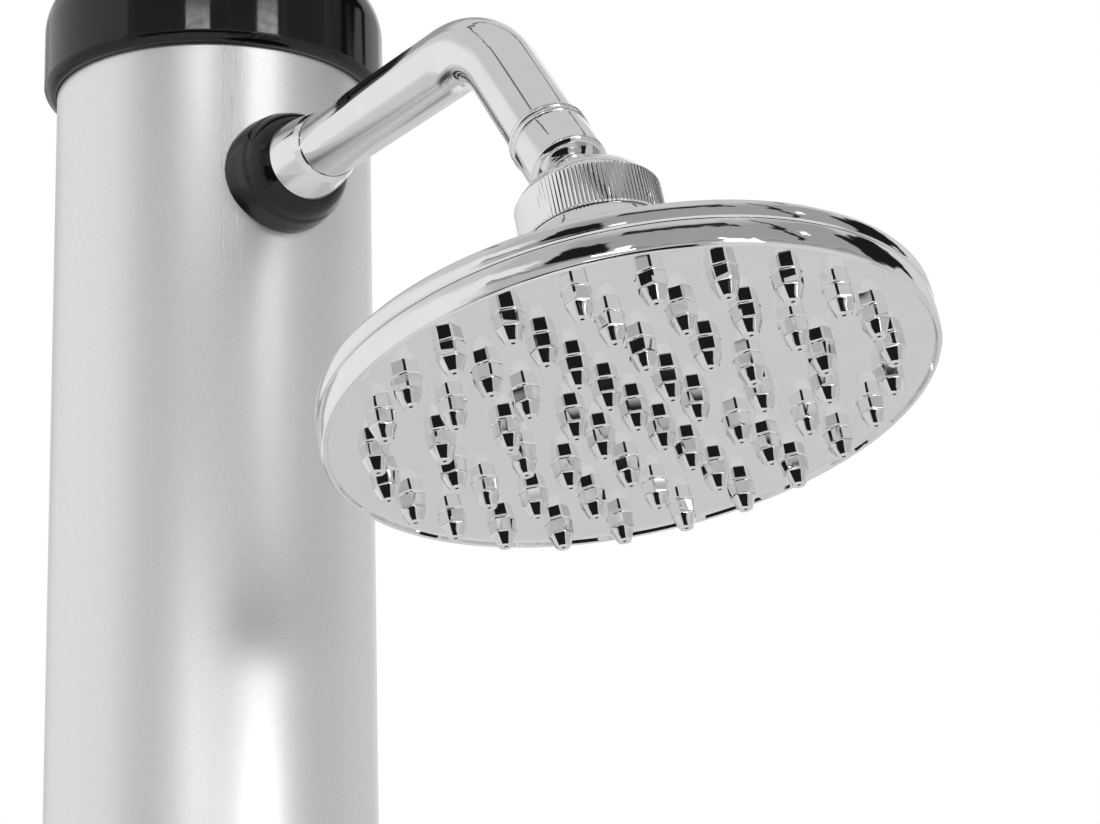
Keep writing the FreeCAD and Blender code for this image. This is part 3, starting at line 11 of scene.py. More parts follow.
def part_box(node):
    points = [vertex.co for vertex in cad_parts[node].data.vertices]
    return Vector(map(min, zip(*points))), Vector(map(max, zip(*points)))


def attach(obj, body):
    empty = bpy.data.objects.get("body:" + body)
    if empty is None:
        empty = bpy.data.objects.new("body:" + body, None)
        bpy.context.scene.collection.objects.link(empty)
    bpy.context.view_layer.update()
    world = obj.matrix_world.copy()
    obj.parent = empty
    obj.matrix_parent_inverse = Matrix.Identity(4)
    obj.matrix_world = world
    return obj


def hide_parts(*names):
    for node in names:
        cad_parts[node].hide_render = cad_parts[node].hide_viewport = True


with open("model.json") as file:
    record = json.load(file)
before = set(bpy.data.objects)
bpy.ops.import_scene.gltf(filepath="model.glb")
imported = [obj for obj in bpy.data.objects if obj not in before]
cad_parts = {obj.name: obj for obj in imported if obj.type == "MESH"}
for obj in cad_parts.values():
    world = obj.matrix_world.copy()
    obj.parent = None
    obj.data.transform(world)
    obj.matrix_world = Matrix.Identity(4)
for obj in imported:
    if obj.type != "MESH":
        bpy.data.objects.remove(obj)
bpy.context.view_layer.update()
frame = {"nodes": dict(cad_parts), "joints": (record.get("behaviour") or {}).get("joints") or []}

bl_info = {
    "name": "Outdoor Shower Post",
    "version": (1, 0, 0),
    "blender": (4, 5, 0),
    "location": "View3D > Sidebar > Shower",
    "description": "Builds the looks of a free-standing outdoor shower round its packed frame",
    "category": "Add Mesh",
}

joints = {joint["name"]: joint for joint in frame["joints"]}
BALL = Vector(joints["head_spin"]["pos_m"])
HEAD_UP = Vector(joints["head_spin"]["axis"]).normalized()
HEAD_SIDE = Vector(joints["head_side"]["axis"]).normalized()
LEVER_PIVOT = Vector(joints["lever_lift"]["pos_m"])
ARM_HEIGHT = sum(corner.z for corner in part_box("arm_collar")) / 2
INLET_HEIGHT = sum(corner.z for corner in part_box("inlet_seal")) / 2
MM = 0.001

# All lengths below are in millimetres. Heights in the head are measured from the ball's centre.
BALL_RADIUS = 10
SOCKET_RADIUS = 10.6  # inner radius of the cups round the ball and its seats
CUP_MOUTH = 10.55  # radius of the shell's cup at its upper edge
WATER_WAY = 3  # radius of the bore through the ball and its stem
BALL_NECK = 4.8
STEM_SOCKET = 9.75  # radius of the stem's socket, which takes the arm
GROMMET_DEPTH = 15.6  # from the column's wall to the grommet's front
ARM_WALL = 1.5
ARM_START = 29  # inner end of the arm, from the column's axis
CAP_OVERHANG = 4.2
CAP_SKIRT = 11  # how far the cap's skirt comes down the column
COLUMN_LINE = 12  # height of the column's foot over the ground
SWEEP_CENTRE = (62.6, 7.4)  # centre of the shell's rounded inner wall, (across, along)
SWEEP_SLOPE = 19.4  # degrees from upright at which the sweep meets the flat cone
SWEEP_RADIUS = 50  # from that centre to the sweep's foot
SWEEP_INSIDE = 52.3  # the same, to the inner wall
DISH_RADIUS = 66.0
DISH_DEPTH = 1.05
FACE_LEVEL = -59.7
FACE_THICKNESS = 2.2
OUTER_RING = 62.37  # radius of the outermost ring of nozzles
RING_PITCH = 15.85
RING_PHASE = 0.78  # degrees by which the rings are turned
SPRAY_RINGS = 5
GROOVE_DEPTH = 0.15
GROOVE_WIDTH = 0.34  # half the groove's width, as a part of one rib
GROOVE_STEPS = 6  # columns of the nut's grid to one rib
ROOM_LEVEL = 0.62  # light of the room behind the panels
WAVE_SCALE, WAVE_DETAIL = 7.0, 3.0
BEARING_SWAY, RISE_SWAY = 0.35, -0.22  # how far the noise bends the room
CAMERA_SPOT = (0.72638, -0.33618, 1.8269)
CAMERA_AHEAD = (-0.8164, 0.5195, 0.2521)
CAMERA_RIGHT = (0.5302, 0.8474, -0.0289)
SENSOR_WIDTH = 36


# ---------------------------------------------------------------- settings
class ShowerFootSettings(bpy.types.PropertyGroup):
    moulding_colour: FloatVectorProperty(
        name="Moulding colour", description="Colour of the black mouldings", default=(0.004, 0.004, 0.0045),
        size=3, subtype="COLOR", min=0, max=1)


class ShowerColumnSettings(bpy.types.PropertyGroup):
    radius: FloatProperty(
        name="Radius", description="Outer radius of the column", default=0.0505, unit="LENGTH", subtype="DISTANCE")
    wall: FloatProperty(
        name="Wall", description="Wall of the column", default=0.002, unit="LENGTH", subtype="DISTANCE")
    foot: FloatProperty(
        name="Foot", description="Height of the column's lower end", default=0.012, unit="LENGTH",
        subtype="DISTANCE")
    top: FloatProperty(
        name="Top", description="Height of the column's upper end", default=2.152, unit="LENGTH",
        subtype="DISTANCE")
    metal_colour: FloatVectorProperty(
        name="Metal colour", description="Colour of the satin column", default=(0.88, 0.88, 0.885), size=3,
        subtype="COLOR", min=0, max=1)
    sheen_roughness: FloatProperty(
        name="Roughness", description="Roughness of the satin column", default=0.29, min=0, max=1)


class ShowerArmSettings(bpy.types.PropertyGroup):
    tube_radius: FloatProperty(
        name="Tube radius", description="Outer radius of the arm", default=0.0097, unit="LENGTH",
        subtype="DISTANCE")
    reach: FloatProperty(
        name="Reach", description="From the column's axis to the elbow's corner", default=0.1705, unit="LENGTH",
        subtype="DISTANCE")
    bend_radius: FloatProperty(
        name="Bend radius", description="Radius of the elbow along the tube's axis", default=0.036,
        unit="LENGTH", subtype="DISTANCE")
    slope: FloatProperty(
        name="Slope", description="Slope of the lower leg below level", default=math.radians(51.4),
        unit="ROTATION", subtype="ANGLE")
    leg: FloatProperty(
        name="Leg", description="From the elbow's corner to the ball's centre", default=0.0758, unit="LENGTH",
        subtype="DISTANCE")
    chrome_colour: FloatVectorProperty(
        name="Chrome colour", description="Colour of the polished chrome", default=(0.88, 0.88, 0.89), size=3,
        subtype="COLOR", min=0, max=1)


class ShowerHeadSettings(bpy.types.PropertyGroup):
    rim_radius: FloatProperty(
        name="Rim radius", description="Radius of the head's lower band", default=0.075, unit="LENGTH",
        subtype="DISTANCE")
    nozzle_height: FloatProperty(
        name="Nozzle height", description="Height of a nozzle", default=0.0072, unit="LENGTH",
        subtype="DISTANCE")
    ribs: IntProperty(
        name="Ribs", description="Number of fine ribs round the coupling nut", default=108, min=12, max=200)


class ShowerMixerSettings(bpy.types.PropertyGroup):
    plate_radius: FloatProperty(
        name="Plate radius", description="Radius of the mixer's wall plate", default=0.033, unit="LENGTH",
        subtype="DISTANCE")
    lever_length: FloatProperty(
        name="Lever length", description="From the pivot to the end of the lever", default=0.098, unit="LENGTH",
        subtype="DISTANCE")
    brass_colour: FloatVectorProperty(
        name="Brass colour", description="Colour of the plain brass fittings", default=(0.72, 0.53, 0.25), size=3,
        subtype="COLOR", min=0, max=1)


class ShowerStageSettings(bpy.types.PropertyGroup):
    floor_size: FloatProperty(
        name="Floor size", description="Width of the floor", default=5, unit="LENGTH", subtype="DISTANCE")
    floor_colour: FloatVectorProperty(
        name="Floor colour", description="Colour of the floor", default=(0.86, 0.86, 0.86), size=3,
        subtype="COLOR", min=0, max=1)
    lens: FloatProperty(
        name="Lens", description="Focal length of the camera in millimetres", default=84.96, min=10, max=300)


# ---------------------------------------------------------------- places
def axes_matrix(x_axis, y_axis, z_axis, origin):
    """Local to row frame: the three columns are the piece's own axes."""
    return np.array([[*x_axis], [*y_axis], [*z_axis]], float).T, np.array([*origin], float)


def column_place(height=0.0):
    """The column's axis, with Z up. The height is in metres."""
    return axes_matrix((1, 0, 0), (0, 1, 0), (0, 0, 1), (0, 0, height))


def outward_place(height, x=0.0):
    """Z of the piece runs out along +X, away from the column."""
    return axes_matrix((0, 1, 0), (0, 0, 1), (1, 0, 0), (x, 0, height))


def backward_place(height):
    """Z of the piece runs out along -X, behind the column."""
    return axes_matrix((0, -1, 0), (0, 0, 1), (-1, 0, 0), (0, 0, height))


def leg_place(slope):
    """The ball's centre, with Z back up the arm's lower leg."""
    up = Vector((-math.cos(slope), 0, math.sin(slope)))
    side = Vector((0, 1, 0))
    return axes_matrix(side.cross(up), side, up, BALL)


def head_place():
    """The ball's centre, with Z along the head's own axis."""
    return axes_matrix(HEAD_SIDE, HEAD_UP.cross(HEAD_SIDE), HEAD_UP, BALL)


# ---------------------------------------------------------------- surfaces
def filleted(corners, steps=5):
    """Outline through corners (across, along, radius). Each inner corner becomes the arc that touches both of its
    edges: its centre lies on the angle's bisector at radius / sin(half the angle) from the corner."""
    spots = np.array([corner[:2] for corner in corners], float)
    outline = [spots[:1]]
    for before, spot, after, corner in zip(spots, spots[1:], spots[2:], corners[1:-1]):
        radius = corner[2] if len(corner) > 2 else 0
        if radius <= 0:
            outline.append(spot[None])
            continue
        inward = (before - spot) / np.linalg.norm(before - spot)
        onward = (after - spot) / np.linalg.norm(after - spot)
        half = math.acos(float(np.clip(inward @ onward, -1, 1))) / 2
        middle = spot + (inward + onward) / np.linalg.norm(inward + onward) * radius / math.sin(half)
        start = spot + inward * radius / math.tan(half) - middle
        stop = spot + onward * radius / math.tan(half) - middle
        swing = math.pi - 2 * half
        part = np.linspace(0, 1, steps + 1)[:, None]
        arc = (np.sin((1 - part) * swing) * start + np.sin(part * swing) * stop) / math.sin(swing)
        outline.append(middle + arc)
    outline.append(spots[-1:])
    return np.vstack(outline)


def arc_points(centre, radius, start, stop, count):
    """Points on a circle: centre + radius times (cos a, sin a), with a in degrees from start to stop."""
    angle = np.radians(np.linspace(start, stop, count))
    return np.stack([centre[0] + radius * np.cos(angle), centre[1] + radius * np.sin(angle)], -1)


def bulged(start, stop, radius, count, side=1):
    """Points on the arc from start to stop, its centre on the left (side 1) or the right (side -1)."""
    start, stop = np.array(start, float), np.array(stop, float)
    chord = stop - start
    across = np.array([-chord[1], chord[0]]) / np.linalg.norm(chord) * side
    centre = (start + stop) / 2 + across * math.sqrt(radius ** 2 - (chord @ chord) / 4)
    first = math.atan2(*(start - centre)[::-1])
    last = math.atan2(*(stop - centre)[::-1])
    swing = (last - first + math.pi) % (2 * math.pi) - math.pi
    return arc_points(centre, radius, math.degrees(first), math.degrees(first + swing), count)


def turned(outline, columns=192):
    """Surface of revolution: point (r, h) of the outline carried round as (r cos a, r sin a, h)."""
    angle = np.linspace(0, 2 * math.pi, columns, endpoint=False)
    across, along = outline[:, :1], outline[:, 1:]
    return np.stack([across * np.cos(angle), across * np.sin(angle), along + 0 * angle], -1)


def seated(grid, rows, radius):
    """The named rows of a turned grid follow a round wall: height = sqrt(radius² - across²)."""
    grid[rows, :, 2] = np.sqrt(radius ** 2 - grid[rows, :, 0] ** 2)
    return grid


def quads(shape, wrap_rows, offset):
    """Four point numbers for each cell of a grid, whose point (row, column) is number row * columns + column."""
    index = np.arange(shape[0] * shape[1]).reshape(shape[:2]) + offset
    if wrap_rows:
        index = np.vstack([index, index[:1]])
    index = np.hstack([index, index[:, :1]])
    return np.stack([index[:-1, :-1], index[:-1, 1:], index[1:, 1:], index[1:, :-1]], -1).reshape(-1, 4)


def piece(name, sheets, place, body, nodes, finish, crease=28.0):
    """One mesh from sheets, each (grid, closed along rows). Every grid is closed round its columns. The points are
    moved from the piece's own axes into the row frame, doubles at the poles are merged, and faces turned outward."""
    points, faces, count = [], [], 0
    for grid, closed in sheets:
        points.append(grid.reshape(-1, 3))
        faces.append(quads(grid.shape, closed, count))
        count += grid.shape[0] * grid.shape[1]
    turn, origin = place
    spots = np.vstack(points) * MM @ turn.T + origin
    mesh = bpy.data.meshes.new(name)
    mesh.from_pydata(spots.tolist(), [], np.vstack(faces).tolist())
    work = bmesh.new()
    work.from_mesh(mesh)
    bmesh.ops.remove_doubles(work, verts=work.verts, dist=1e-6)
    bmesh.ops.dissolve_degenerate(work, edges=work.edges, dist=1e-7)
    bmesh.ops.recalc_face_normals(work, faces=work.faces)
    work.to_mesh(mesh)
    work.free()
    settle(bpy.data.objects.new(name, mesh), body, nodes, finish, crease)


def settle(item, body, nodes, finish, crease):
    """Shades a finished piece, gives it its finish, hangs it on its body and hides the imported nodes it stands for.
    """
    item.data.shade_smooth()
    item.data.set_sharp_from_angle(angle=math.radians(crease))
    item.data.materials.clear()
    item.data.materials.append(finish)
    bpy.context.scene.collection.objects.link(item)
    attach(item, body)
    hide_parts(*nodes)


def refined(node, name, body, finish, edge, crease=28.0):
    """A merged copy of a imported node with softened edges, which stands for that node."""
    work = bmesh.new()
    work.from_mesh(frame["nodes"][node].data)
    bmesh.ops.remove_doubles(work, verts=work.verts, dist=1e-6)
    bmesh.ops.dissolve_limit(
        work, angle_limit=math.radians(1.0), verts=work.verts, edges=work.edges, use_dissolve_boundaries=False)
    mesh = bpy.data.meshes.new(name)
    work.to_mesh(mesh)
    work.free()
    item = bpy.data.objects.new(name, mesh)
    settle(item, body, (node,), finish, crease)
    bevel = item.modifiers.new("Soft edges", "BEVEL")
    bevel.width = edge
    bevel.segments = 2
    bevel.limit_method = "ANGLE"
    bevel.angle_limit = math.radians(crease)
    bevel.harden_normals = True


# ---------------------------------------------------------------- finishes
def node_at(tree, kind, **values):
    """Adds a shader node and sets its own values."""
    made = tree.nodes.new(kind)
    for key, value in values.items():
        setattr(made, key, value)
    return made


def grain(tree, scale, detail, rough=0.5, stretch=(1, 1, 1)):
    """Noise over the piece's own Object coordinates, stretched along its axes."""
    place = node_at(tree, "ShaderNodeTexCoord")
    mapping = node_at(tree, "ShaderNodeMapping")
    mapping.inputs["Scale"].default_value = stretch
    noise = node_at(tree, "ShaderNodeTexNoise")
    noise.inputs["Scale"].default_value = scale
    noise.inputs["Detail"].default_value = detail
    noise.inputs["Roughness"].default_value = rough
    tree.links.new(place.outputs["Object"], mapping.inputs["Vector"])
    tree.links.new(mapping.outputs["Vector"], noise.inputs["Vector"])
    return noise.outputs["Fac"]


def spread(tree, source, low, high):
    """Maps a noise's middle range onto low..high."""
    ramp = node_at(tree, "ShaderNodeMapRange")
    ramp.inputs["From Min"].default_value = 0.3
    ramp.inputs["From Max"].default_value = 0.7
    ramp.inputs["To Min"].default_value = low
    ramp.inputs["To Max"].default_value = high
    tree.links.new(source, ramp.inputs["Value"])
    return ramp.outputs["Result"]


def shades(colour, *factors):
    """A colour times each factor, kept to 1 at most."""
    return [tuple(min(1.0, part * factor) for part in colour) for factor in factors]


def coated(name, colours, tone, rough, bump, **values):
    """A finish from noises, each written as grain's (scale, detail, roughness, stretch). The tone mixes the two
    colours, rough is (noise, lowest, highest roughness), bump is (noise, strength, distance)."""
    finish = bpy.data.materials.get(name)
    if finish:
        return finish
    finish = bpy.data.materials.new(name)
    finish.use_nodes = True
    tree = finish.node_tree
    shader = tree.nodes["Principled BSDF"]
    for key, value in values.items():
        shader.inputs[key.replace("_", " ")].default_value = value
    made = {noise: grain(tree, *noise) for noise in {tone: 0, rough[0]: 0, bump[0]: 0}}
    mix = node_at(tree, "ShaderNodeMix", data_type="RGBA")
    mix.inputs["A"].default_value = (*colours[0], 1)
    mix.inputs["B"].default_value = (*colours[1], 1)
    tree.links.new(spread(tree, made[tone], 0, 1), mix.inputs["Factor"])
    tree.links.new(mix.outputs["Result"], shader.inputs["Base Color"])
    tree.links.new(spread(tree, made[rough[0]], *rough[1:]), shader.inputs["Roughness"])
    relief = node_at(tree, "ShaderNodeBump")
    relief.inputs["Strength"].default_value = bump[1]
    relief.inputs["Distance"].default_value = bump[2]
    tree.links.new(made[bump[0]], relief.inputs["Height"])
    tree.links.new(relief.outputs["Normal"], shader.inputs["Normal"])
    return finish


def chrome(colour):
    """Polished plating: a faint haze, a slow waviness and very fine rubbing marks."""
    return coated(
        "polished_chrome", shades(colour, 0.98, 1.01), (90, 3), ((260, 5), 0.025, 0.05), ((38, 1), 0.05, 0.0006),
        Metallic=1.0)


def satin_metal(colour, roughness):
    """Bead-blasted and anodised tube: fine specks in colour and bump, and drawing lines along the tube that change
    only its roughness."""
    specks, lines = (1500, 3, 0.7), (55, 5, 0.5, (1, 1, 0.02))
    return coated(
        "satin_column", shades(colour, 0.95, 1.04), specks, (lines, roughness - 0.02, roughness + 0.03),
        (specks, 0.1, 0.00003), Metallic=1.0, Anisotropic=0.8)


def gloss_black(colour):
    """Black injection moulding with a polished skin."""
    return coated(
        "gloss_black_moulding", shades(colour, 0.85, 1.2), (120, 3), ((420, 4), 0.05, 0.09),
        ((60, 2), 0.06, 0.0004), Specular_IOR_Level=0.4)


def grained_plastic(name, colour, roughness, scale=900.0, depth=0.00012):
    """Moulded plastic with a fine spark-eroded grain."""
    bits = (scale, 3, 0.6)
    return coated(
        name, shades(colour, 0.88, 1.1), (30, 4), (bits, roughness - 0.05, roughness + 0.06), (bits, 0.3, depth))


def soft_rubber():
    """Matt rubber with a pale bloom."""
    bloom = (240, 5, 0.6)
    return coated(
        "seal_rubber", shades((0.02, 0.02, 0.021), 0.8, 1.7), bloom, (bloom, 0.62, 0.75),
        ((1300, 2), 0.25, 0.0001))


def plain_brass(colour):
    """Machined brass: tool marks round the piece show as fine noise, with faint tarnish."""
    return coated(
        "machined_brass", shades(colour, 0.82, 1.06), (45, 6), ((700, 4), 0.2, 0.34), ((1400, 2), 0.15, 0.00004),
        Metallic=1.0)


def small_steel():
    """Stainless fasteners with fine rubbing marks."""
    return coated(
        "stainless_fasteners", ((0.52, 0.52, 0.53), (0.66, 0.66, 0.67)), (300, 5), ((800, 3), 0.22, 0.36),
        ((1500, 2), 0.15, 0.00004), Metallic=1.0)


# ---------------------------------------------------------------- foot and column
def pan_heads(height, radius, rise, start, count=3):
    """Sheets of pan heads round the column. Each is turned about its own axis, its socket's rows drawn in to a
    hexagon: reach = flat / cos(angle from the nearest flat's middle)."""
    outline = filleted([
        (0, 1.1), (1.5, 1.1), (1.5, rise), (radius, rise, 1.6), (radius, 0, 0.2), (0, 0)], steps=6)
    head = turned(outline, 48)
    angle = np.linspace(0, 2 * math.pi, 48, endpoint=False)
    flat = 1.45 / np.cos((angle + math.pi / 6) % (math.pi / 3) - math.pi / 6)
    across = np.linalg.norm(head[1:3, :, :2], axis=-1, keepdims=True)
    head[1:3, :, :2] *= flat[None, :, None] / across
    sheets = []
    for i in range(count):
        bearing = 2 * math.pi * i / count
        ahead = np.array([math.cos(bearing), math.sin(bearing), 0])
        aside = np.array([-math.sin(bearing), math.cos(bearing), 0])
        grid = head[..., 2:] * ahead + start * ahead + head[..., :1] * aside + head[..., 1:2] * np.array([0, 0, 1])
        sheets.append((grid + np.array([0, 0, height]), False))
    return sheets


class SHOWER_OT_foot(bpy.types.Operator):
    """Builds the base flange, its trim ring and the foot screws"""

    bl_idname = "shower.foot"
    bl_label = "Base and foot ring"
    bl_options = {"REGISTER", "UNDO"}

    def execute(self, context):
        settings = context.scene.shower_foot
        radius = context.scene.shower_column.radius / MM
        coat = grained_plastic("black_base_coat", settings.moulding_colour, 0.42)
        refined("base_plate", "base_flange", "root", coat, edge=0.0005)
        inner, outer = radius + 0.1, radius + 5.1
        ring = filleted([
            (inner, 1), (inner, 0, 0.3), (outer, 0, 0.4), (outer, 22, 3), (inner, 22, 0.3), (inner, 21)], steps=8)
        piece(
            "foot_trim_ring", [(turned(ring), True)], column_place(COLUMN_LINE * MM), "root",
            ["foot_ring"], gloss_black(settings.moulding_colour))
        piece(
            "foot_pan_screws", pan_heads(46, 4.75, 2.8, radius + 0.1), column_place(), "root",
            ["foot_screws"], small_steel())
        return {"FINISHED"}


class SHOWER_OT_column(bpy.types.Operator):
    """Builds the satin column and its black cap"""

    bl_idname = "shower.column"
    bl_label = "Column and cap"
    bl_options = {"REGISTER", "UNDO"}

    def execute(self, context):
        settings = context.scene.shower_column
        outer, inner = settings.radius / MM, (settings.radius - settings.wall) / MM
        foot, top = settings.foot / MM, settings.top / MM
        tube = filleted([
            (inner, foot + 1), (inner, foot, 0.3), (outer, foot, 0.3), (outer, foot + 1), (outer, foot + 2),
            (outer, top - 2), (outer, top - 1), (outer, top, 0.3), (inner, top, 0.3), (inner, top - 1),
            (inner, foot + 2)], steps=3)
        piece(
            "column_tube", [(turned(tube, 256), True)], column_place(), "root", ["post_tube"],
            satin_metal(settings.metal_colour, settings.sheen_roughness))
        self.cap(outer, inner, top, context.scene.shower_foot.moulding_colour)
        return {"FINISHED"}

    def cap(self, outer, inner, top, colour):
        """Skirt with a rounded lower edge, an upright flank, a round shoulder and a low domed crown."""
        rim, slope, curve = outer + CAP_OVERHANG, 8, 18.5
        shoulder = arc_points((rim - curve, 21), curve, 0, 90 - slope, 30)
        crown = shoulder[-1, 0] / math.sin(math.radians(slope))
        low = shoulder[-1, 1] - crown * math.cos(math.radians(slope))
        dome = arc_points((0, low), crown, 90 - slope, 90, 14)
        apex = dome[-1, 1]
        skirt = bulged((rim - 2.6, 0), (rim, 2.6), 3.64, 8)
        inside = filleted([
            (0, apex - 2.6), (inner - 12, 34), (inner - 2.1, 14, 1), (inner - 2.1, -3, 0.5),
            (inner - 0.1, -3, 0.4), (inner - 0.1, CAP_SKIRT), (outer + 0.1, CAP_SKIRT), (outer + 0.1, 0, 0.4),
            tuple(skirt[0])], steps=3)
        flank = [(rim, 2.9), (rim, 3.4), (rim, 20), (rim, 20.6)]
        outline = np.vstack([inside[:-1], skirt, flank, shoulder, dome[1:]])
        piece(
            "column_cap", [(turned(outline, 256), False)], column_place(top * MM - CAP_SKIRT * MM), "root",
            ["post_cap"], gloss_black(colour))


# ---------------------------------------------------------------- arm
def arm_path(start, reach, bend, slope, stop):
    """Centre line in the XZ plane and its headings: level run, round elbow of one radius, then the sloping leg."""
    lead = bend * math.tan(slope / 2)
    turn = np.linspace(0, slope, 49)
    elbow = np.stack([reach - lead + bend * np.sin(turn), bend * np.cos(turn) - bend], -1)
    level = np.stack([np.linspace(start, reach - lead, 14)[:-1], np.zeros(13)], -1)
    down = np.array([math.cos(slope), -math.sin(slope)])
    lower = np.array([reach, 0]) + np.linspace(lead, stop, 9)[1:, None] * down
    heading = np.concatenate([np.zeros(13), turn, np.full(8, slope)])
    return np.vstack([level, elbow, lower]), heading


def tube_round(path, heading, radius, columns=144):
    """Centre + radius (cos a · normal + sin a · Y), with the normal square to the heading in the XZ plane."""
    angle = np.linspace(0, 2 * math.pi, columns, endpoint=False)
    normal = np.stack([np.sin(heading), np.cos(heading)], -1)[:, None, :] * np.cos(angle)[None, :, None]
    middle = path[:, None, :] + radius * normal
    side = np.broadcast_to(radius * np.sin(angle), middle.shape[:2])
    return np.stack([middle[..., 0], side, middle[..., 1]], -1)


class SHOWER_OT_arm(bpy.types.Operator):
    """Builds the bent arm with its black grommet, its collar and the ball stem"""

    bl_idname = "shower.arm"
    bl_label = "Arm and ball stem"
    bl_options = {"REGISTER", "UNDO"}

    def execute(self, context):
        settings = context.scene.shower_arm
        column = context.scene.shower_column.radius / MM
        radius = settings.tube_radius / MM
        self.grommet(column, radius, context.scene.shower_foot.moulding_colour)
        self.collar(column + GROMMET_DEPTH, radius, settings.chrome_colour)
        self.tube(settings, radius)
        self.stem(settings)
        return {"FINISHED"}

    def grommet(self, column, radius, colour):
        """Stepped moulding; its two rear rows follow the column's wall."""
        front = column + GROMMET_DEPTH
        nose = bulged((front, 13.1), (column + 8.6, 16.8), 11, 14)[:, ::-1]
        outline = np.vstack([
            [(18.4, 0)],
            filleted([
                (18.4, column + 0.8), (18.3, column + 2, 0.3), (17.6, column + 7, 0.5), (16.8, column + 8.6)], 4),
            nose[::-1][1:],
            filleted([tuple(nose[0]), (radius + 0.1, front, 0.3), (radius + 0.1, front - 2)], 4)[1:],
            [(radius + 0.1, 0)]])
        grid = turned(outline, 192)
        seated(grid, [0, -1], column + 0.1)
        piece(
            "arm_grommet_boot", [(grid, True)], outward_place(ARM_HEIGHT), "root", ["arm_grommet"],
            gloss_black(colour))

    def collar(self, start, radius, colour):
        edge = start + 11.6
        outline = filleted([
            (radius + 0.1, start + 1), (radius + 0.1, start + 0.05), (12.9, start + 0.05, 0.3), (10.9, edge, 0.5),
            (radius + 0.4, edge + 2.2, 0.15), (radius + 0.1, edge + 2.2), (radius + 0.1, edge)], steps=5)
        piece(
            "arm_cone_collar", [(turned(outline), True)], outward_place(ARM_HEIGHT), "root",
            ["arm_collar"], chrome(colour))

    def tube(self, settings, radius):
        path, heading = arm_path(
            ARM_START, settings.reach / MM, settings.bend_radius / MM, settings.slope, settings.leg / MM - 16.1)
        outer = tube_round(path, heading, radius)
        inner = tube_round(path, heading, radius - ARM_WALL)
        piece(
            "arm_bent_tube", [(np.concatenate([outer, inner[::-1]]), True)], column_place(ARM_HEIGHT), "root",
            ["shower_arm"], chrome(settings.chrome_colour))

    def stem(self, settings):
        """Ball, neck and socket collar with two round beads at its upper edge."""
        beads = [bulged((10.0, low), (10.0, low + 2.1), 1.1, 13) for low in (23.4, 25.5)]
        outline = np.vstack([
            bulged((WATER_WAY, -9.54), (BALL_NECK, 8.77), BALL_RADIUS, 64),
            filleted([
                (BALL_NECK, 8.9), (BALL_NECK, 10.6, 1.3), (9.2, 10.6, 0.7), (10.4, 11.6, 0.9), (10.4, 23.1, 0.2),
                (10.0, 23.39)], 7),
            beads[0], beads[1][1:],
            [(10.0, 27.61), (STEM_SOCKET, 27.61), (STEM_SOCKET, 16), (WATER_WAY, 16), (WATER_WAY, -9)]])
        piece(
            "ball_and_stem", [(turned(outline), True)], leg_place(settings.slope), "root",
            ["ball_stem"], chrome(settings.chrome_colour))


# ---------------------------------------------------------------- shower head
def hexagon(radius, bevel):
    """Twelve points: each corner of the hexagon is cut off by the bevel's distance along both of its sides."""
    corner = np.radians(np.arange(6) * 60.0)
    spots = radius * np.stack([np.cos(corner), np.sin(corner)], -1)
    onward = np.roll(spots, -1, 0) - spots
    onward /= np.linalg.norm(onward, axis=1, keepdims=True)
    back = np.roll(spots, 1, 0) - spots
    back /= np.linalg.norm(back, axis=1, keepdims=True)
    return np.stack([spots + back * bevel, spots + onward * bevel], 1).reshape(12, 2)


def circlet(radius):
    """Twelve points of a circle, which match the hexagon's: 15 degrees before and after each of its corners."""
    angle = np.radians(np.stack([np.arange(6) * 60.0 - 15, np.arange(6) * 60.0 + 15], 1).reshape(12))
    return radius * np.stack([np.cos(angle), np.sin(angle)], -1)


def nozzle_profile(height):
    """Rows of twelve points with their depth under the face: foot, flank, knee, cone, tip and bore. A row close
    to each end of the flank and the cone keeps their shading flat."""
    knee = height * 0.55
    rows = [
        (circlet(0.001), -0.5), (hexagon(4.15, 0.45), -0.5), (hexagon(4.15, 0.45), -0.02), (hexagon(3.9, 0.4), 0.1),
        (hexagon(3.74, 0.38), 0.35), (hexagon(3.72, 0.38), 0.5), (hexagon(3.53, 0.34), knee - 0.65),
        (hexagon(3.51, 0.34), knee - 0.45), (hexagon(3.45, 0.34), knee - 0.15), (hexagon(3.33, 0.34), knee + 0.15),
        (hexagon(3.18, 0.33), knee + 0.45), (hexagon(3.1, 0.33), knee + 0.62),
        (hexagon(2.1, 0.24), height - 0.32), (hexagon(2.02, 0.24), height - 0.15),
        (hexagon(1.85, 0.24), height), (circlet(0.58), height),
        (circlet(0.5), height - 0.1), (circlet(0.5), 2.5), (circlet(0.001), 2.5)]
    return np.stack([np.column_stack([spots, np.full(12, -depth)]) for spots, depth in rows])


def nozzle_field(height, level, sink):
    """One sheet per nozzle, on five rings of 1, 6, 12, 18 and 24, each turned to face the ring's centre."""
    profile = nozzle_profile(height)
    phase = math.radians(RING_PHASE)
    sheets = []
    for ring in range(SPRAY_RINGS):
        radius = OUTER_RING - RING_PITCH * (SPRAY_RINGS - 1 - ring) if ring else 0.0
        for bearing in phase + np.linspace(0, 2 * math.pi, max(1, 6 * ring), endpoint=False):
            ahead, aside = math.cos(bearing), math.sin(bearing)
            turn = np.array([[ahead, aside, 0], [-aside, ahead, 0], [0, 0, 1]])
            spot = np.array([radius * ahead, radius * aside, level + sink(radius)])
            sheets.append((profile @ turn + spot, False))
    return sheets


